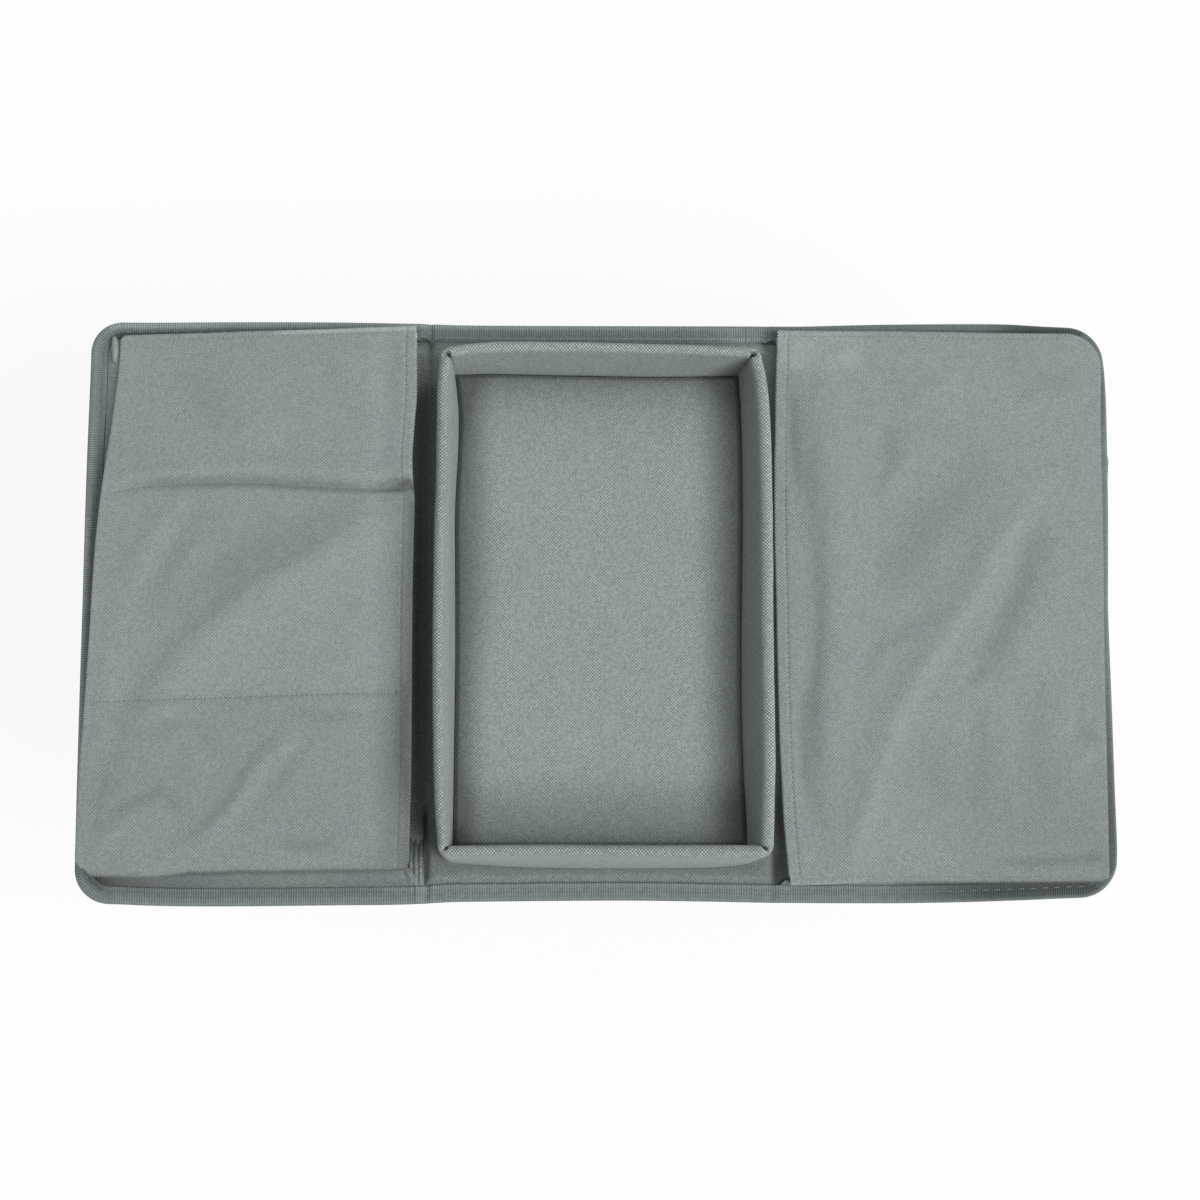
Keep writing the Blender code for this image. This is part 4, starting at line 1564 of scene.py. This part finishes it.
def add_face(pocket, wing):
    us, vs = face_stations(pocket)
    rows = [[face_point(pocket, u, v) for v in vs] for u in us]
    paling = [[face_wear(pocket, u) for _ in vs] for u in us]
    soil = [[face_soil(pocket, u, v) for v in vs] for u in us]
    # The turned-under hem starts with the painted shade of the mouth's edge and takes a painted shade of 0.3
    # under the face.
    edge_soil = soil[-1]
    for number, row in enumerate(hem_rows(pocket, vs)):
        rows.append(row)
        paling.append([0.4 if number < 3 else 0.0] * len(vs))
        soil.append([mix(value, 0.3, min(number / 3, 1)) for value in edge_soil])
    prefix = pocket["prefix"]
    name, places = f"{prefix}_pocket_face_cloth", plan_coords(rows)
    # The face carries its wear beads and its painted shade and painted light per point.
    face = add_grid(name, rows, places, pocket_weave, wear=paling, soil=soil)
    weld(face)
    thicken(face, cloth, even=False)
    settle(face, wing, "pocket_cloth", f"{prefix}_pocket_face")


def foot_point(pocket, u, v, inset, level):
    """A point on the mat under the face's edge, at a distance in from the bound edge."""
    radius = corner_radius - inset
    u, v = round_plan(pocket, u, v, (radius, radius), 0)
    out = mix(outer_x - inset, fold_x + foot_mouth, u)
    x, y = lie(pocket["side"] * out, (2 * v - 1) * (edge_half_depth(out) - inset))
    return x, y, level


def gusset_column(pocket, u, v, place):
    """The bellows strip's section under one point of the face's edge, from flange to top."""
    flange = foot_point(pocket, u, v, 0.0022, gusset_flange)
    bend = foot_point(pocket, u, v, gusset_inset - 0.0003, gusset_flange)
    foot_level = tape_top_wing + tape_thickness / 2 + 0.0001
    foot = foot_point(pocket, u, v, gusset_inset, foot_level)
    edge = level_face(pocket, u, v)
    in_x, in_y = way_in(pocket, u, v)
    top = (edge[0] + in_x * 0.0003, edge[1] + in_y * 0.0003)
    top_level = edge[2] - cloth - 0.0001
    height = top_level - foot_level
    across, along = plan_lengths(pocket)
    mouth_distance = (1 - u) * across
    hollow = gather = 0
    if pocket["seams"]:
        from_corner = hypot(u * across, v * along)
        hollow = 0.0016 * bell(from_corner, 0.012)
        gather = 0.0007 * bell(from_corner, 0.009) * sin(2 * pi * place / 0.0026)
    depth = bellows_share * height * (1 + 0.5 * waver(place, 0, 0.03, 6))
    pleat = 0.0009 * bell(mouth_distance - 0.0022, 0.0011) - 0.0008 * bell(mouth_distance - 0.0050, 0.0013)
    column = [flange, bend]
    for share in spread(0, 1, 12):
        crumple = 0.0004 * waver(place, share * height, 0.010, 8)
        shift = (depth + hollow) * sin(pi * share) ** 1.4
        shift += (crumple + gather - pleat) * sin(pi * min(share * 1.15, 1))
        x = mix(foot[0], top[0], share) + in_x * shift
        y = mix(foot[1], top[1], share) + in_y * shift
        column.append((x, y, mix(foot_level, top_level, share)))
    return column


# Painted shade on the left pocket's front strip, low down and near its top, by the distance from its outer
# end
front_strip_low = ((0.006, 0.70), (0.020, 0.50), (0.041, 0.34), (0.075, 0.20), (0.110, 0.14), (0.165, 0.20))
front_strip_top = ((0, 0.78), (0.040, 0.68), (0.075, 0.62), (0.110, 0.52), (0.165, 0.46))


def gusset_soil(name, pocket, u, v, share):
    """Painted shade under the face's edge, most of all at the front and in its outer corner."""
    across, along = plan_lengths(pocket)
    soil = 0.30 * climb(share, 0.70, 0.30)
    if pocket["seams"]:
        if name == "front":
            low, top = track(front_strip_low, u * across), track(front_strip_top, u * across)
            return mix(low, top, climb(share, 0.45, 0.25))
        soil += 0.70 * fading(hypot(u * across, v * along), 0.014)
    elif name == "front":
        soil += 0.45 * fall(u * across, 0.095, 0.030)
    return min(soil, 0.82)


def add_gussets(pocket, wing):
    """The bellows strip in the three lengths that it is sewn from, which meet at the corners."""
    us, vs = face_stations(pocket)
    us = [0.0] + [u for u in us if u > 0]
    vs = [0.0] + [v for v in vs if 0 < v < 1] + [1.0]
    across, along = plan_lengths(pocket)
    runs = {
        "rear": [(u, 1, u * across) for u in us],
        "side": [(0, v, 1 + v * along) for v in vs],
        "front": [(u, 0, 2 + u * across) for u in us],
    }
    prefix = pocket["prefix"]
    for name, places in runs.items():
        rows = [gusset_column(pocket, u, v, place) for u, v, place in places]
        soil = []
        for u, v, _ in places:
            soil.append([gusset_soil(name, pocket, u, v, share) for share in spread(0, 1, len(rows[0]) - 1)])
        # Each strip carries painted shade per point.
        strip = add_grid(f"{prefix}_gusset_{name}_cloth", rows, path_coords(rows), gusset_weave, soil=soil)
        thicken(strip, cloth)
        settle(strip, wing, "gusset_cloth", f"{prefix}_gusset_{name}")


def add_divider(pocket, place, seam, wing):
    """A cloth wall under a seam, from beside the outer gusset to behind the hem."""
    across, _ = plan_lengths(pocket)
    outer_v = seam_share(pocket, seam, 0)
    column = gusset_column(pocket, 0, outer_v, 1)
    innermost = min(abs(point[0]) for point in column) - cloth
    start = (abs(level_face(pocket, 0, outer_v)[0]) - innermost) / across
    rows = []
    bottom = cover_level + cloth / 2 + 0.0004
    for u in spread(start, 1 - (hem_width + hem_radius) / across, 70):
        x, y, top = level_face(pocket, u, seam_share(pocket, seam, u), cloth / 2 + 0.0002)
        row = []
        for share in spread(0, 1, 8):
            slack = 0.0012 * sin(pi * share) * waver(u, share, 0.35, 12)
            row.append((x, y + slack, mix(bottom, top, share)))
        rows.append(row)
    wall = add_grid(f"left_divider_{place}_cloth", rows, path_coords(rows), gusset_weave)
    thicken(wall, cloth * 0.8)
    settle(wall, wing, "gusset_cloth", f"left_divider_{place}")


def add_corner_tuck(wing):
    """The surplus of the bellows strip, folded into a small ear at the left pocket's rear corner."""
    middle_x, middle_level, half_width, half_height = -0.2655, 0.0066, 0.0018, 0.0024
    rows = []
    for y in spread(0.1366, 0.1512, 18):
        full = sin(pi * min(max((y - 0.1360) / 0.0158, 0), 1)) ** 0.45
        lean = 0.0004 * waver(y, 0, 0.005, 2) - (y - 0.144) * 0.05
        row = []
        for angle in spread(-0.15 * pi, 1.15 * pi, 16):
            x = middle_x + lean + half_width * full * cos(angle)
            row.append((x, y, middle_level + half_height * full * sin(angle)))
        rows.append(row)
    tuck = add_grid("left_gusset_tuck", rows, path_coords(rows), pocket_weave)
    thicken(tuck, thin_cloth, even=False)
    settle(tuck, wing, "gusset_cloth")


def add_mouth_pleats(wing):
    """The end of the left pocket's front bellows strip, turned in as soft pleats beside the mouth."""
    front, rear, outer, inner, pleat_width = -0.1512, -0.1080, -0.1034, -0.0938, 0.0027
    rows, soil = [], []
    # Painted shade down the pleats, deeper towards the rear and at their inner side, with painted light on
    # their crests.
    shade = ((-0.1512, 0.02), (-0.146, 0.12), (-0.142, 0.26), (-0.131, 0.60), (-0.1206, 0.78), (-0.112, 0.78))
    for share in spread(0, 1, 44):
        y = mix(front, rear, share)
        fade = fall(share, 0.30, 0.60)
        end_shade = track(shade, y)
        row, row_soil = [], []
        for place in spread(0, 1, 44):
            x = mix(outer, inner, place)
            wave = 0.5 + 0.5 * cos(2 * pi * (x + 0.0984 + 0.0005 * waver(0, y, 0.014, 3)) / pleat_width)
            edge = ease(place / 0.10) * ease((1 - place) / 0.25)
            level = 0.0026 + 0.0030 * fade + (0.0010 * wave + 0.0007 * waver(x, y, 0.006, 14)) * edge * fade
            row.append((x, y, level + 0.0014 * sin(pi * share) * (1 - place) * edge * fade))
            inner_shade = 0.30 * climb(place, 0.80, 0.20) * ease(share / 0.2)
            row_soil.append(end_shade + inner_shade - 0.10 * wave * fade)
        rows.append(row)
        soil.append(row_soil)
    pleats = add_grid("left_gusset_pleats", rows, path_coords(rows), gusset_weave, soil=soil)
    thicken(pleats, thin_cloth, even=False)
    settle(pleats, wing, "gusset_cloth")


def add_pocket(pocket, wing):
    add_face(pocket, wing)
    add_face_thread(pocket, wing)
    add_gussets(pocket, wing)
    for place, seam in zip(("front", "rear"), pocket["seams"]):
        add_divider(pocket, place, seam, wing)


# Stage, light and camera

floor_reach, floor_level = 8.0, -0.2
room_colour, room_strength = (0.97, 0.985, 1.0, 1), 0.48
lamp_energy, lamp_from = 2.5, (0.68, -0.40, 1.0)
camera_place = (-0.037924, -0.353858, 1.875404)
camera_turns = (0.189361, -0.020362, 0.001267)


def mixed(graph, share, first, second):
    """A shader between two others."""
    made = graph.node("ShaderNodeMixShader", Fac=share)
    graph.feed(made.inputs[1], first)
    graph.feed(made.inputs[2], second)
    return made.outputs[0]


def add_stage():
    """A pale floor, low enough for the wings to hang above it, white to the camera and clear from below."""
    graph = Graph("pale_floor")
    rays = graph.node("ShaderNodeLightPath").outputs
    seen = graph.maths("MAXIMUM", rays["Is Camera Ray"], rays["Is Glossy Ray"])
    seen = graph.maths("MAXIMUM", seen, rays["Is Transmission Ray"])
    matte = graph.node("ShaderNodeBsdfDiffuse", Color=(0.86, 0.86, 0.86, 1)).outputs[0]
    white = graph.node("ShaderNodeEmission", Color=(1, 1, 1, 1), Strength=1.0).outputs[0]
    above = mixed(graph, seen, matte, mixed(graph, 0.9, matte, white))
    clear = graph.node("ShaderNodeBsdfTransparent").outputs[0]
    below = graph.node("ShaderNodeNewGeometry").outputs["Backfacing"]
    graph.feed(graph.tree.nodes["Material Output"].inputs["Surface"], mixed(graph, below, above, clear))
    signs = ((-1, -1), (1, -1), (1, 1), (-1, 1))
    corners = [(x * floor_reach, y * floor_reach, floor_level) for x, y in signs]
    mesh = bpy.data.meshes.new("stage_floor")
    mesh.from_pydata(corners, [], [(0, 1, 2, 3)])
    mesh.materials.append(graph.material)
    add_object("stage_floor", mesh)


def add_light():
    """A soft room, white to the camera, and one broad lamp from the right and the front."""
    world = bpy.data.worlds.new("soft_room")
    bpy.context.scene.world = world
    world.use_nodes = True
    tree = world.node_tree
    tree.nodes.clear()
    rays = tree.nodes.new("ShaderNodeLightPath").outputs
    seen = tree.nodes.new("ShaderNodeMath")
    seen.operation = "MAXIMUM"
    tree.links.new(rays["Is Camera Ray"], seen.inputs[0])
    tree.links.new(rays["Is Transmission Ray"], seen.inputs[1])
    either = tree.nodes.new("ShaderNodeMixShader")
    tree.links.new(seen.outputs[0], either.inputs[0])
    for number, (colour, strength) in enumerate(((room_colour, room_strength), ((1, 1, 1, 1), 1.0)), 1):
        light = tree.nodes.new("ShaderNodeBackground")
        light.inputs["Color"].default_value = colour
        light.inputs["Strength"].default_value = strength
        tree.links.new(light.outputs[0], either.inputs[number])
    output = tree.nodes.new("ShaderNodeOutputWorld")
    tree.links.new(either.outputs[0], output.inputs["Surface"])
    lamp = bpy.data.lights.new("key", "SUN")
    lamp.energy, lamp.angle = lamp_energy, radians(36)
    holder = add_object("key", lamp)
    holder.rotation_mode = "QUATERNION"
    holder.rotation_quaternion = Vector(lamp_from).to_track_quat("Z", "Y")


def add_camera():
    """The photograph's viewpoint: from above, a little to the front and left of the middle."""
    camera = bpy.data.cameras.new("camera")
    camera.sensor_width, camera.lens = 36.0, 105.0
    camera.clip_start, camera.clip_end = 0.1, 50
    turn = Matrix()
    for angle, axis in zip(camera_turns, "XYZ"):
        turn = turn @ Matrix.Rotation(angle, 4, axis)
    bpy.context.scene.camera = add_object("camera", camera)
    bpy.context.scene.camera.matrix_world = Matrix.Translation(camera_place) @ turn


add_camera()
add_panel("center", 0)
add_panel("left", -1)
add_panel("right", 1)
add_tape("center_binding_front", 0, centre_outline(-1))
add_tape("center_binding_rear", 0, centre_outline(1))
add_tape("left_binding", -1, wing_outline(-1))
add_tape("right_binding", 1, wing_outline(1))
add_tray_walls()
add_tray_floor()
add_pocket(left_pocket, "left_wing")
add_corner_tuck("left_wing")
add_mouth_pleats("left_wing")
add_pocket(right_pocket, "right_wing")
add_stage()
add_light()
bpy.context.scene.view_settings.view_transform = "Standard"
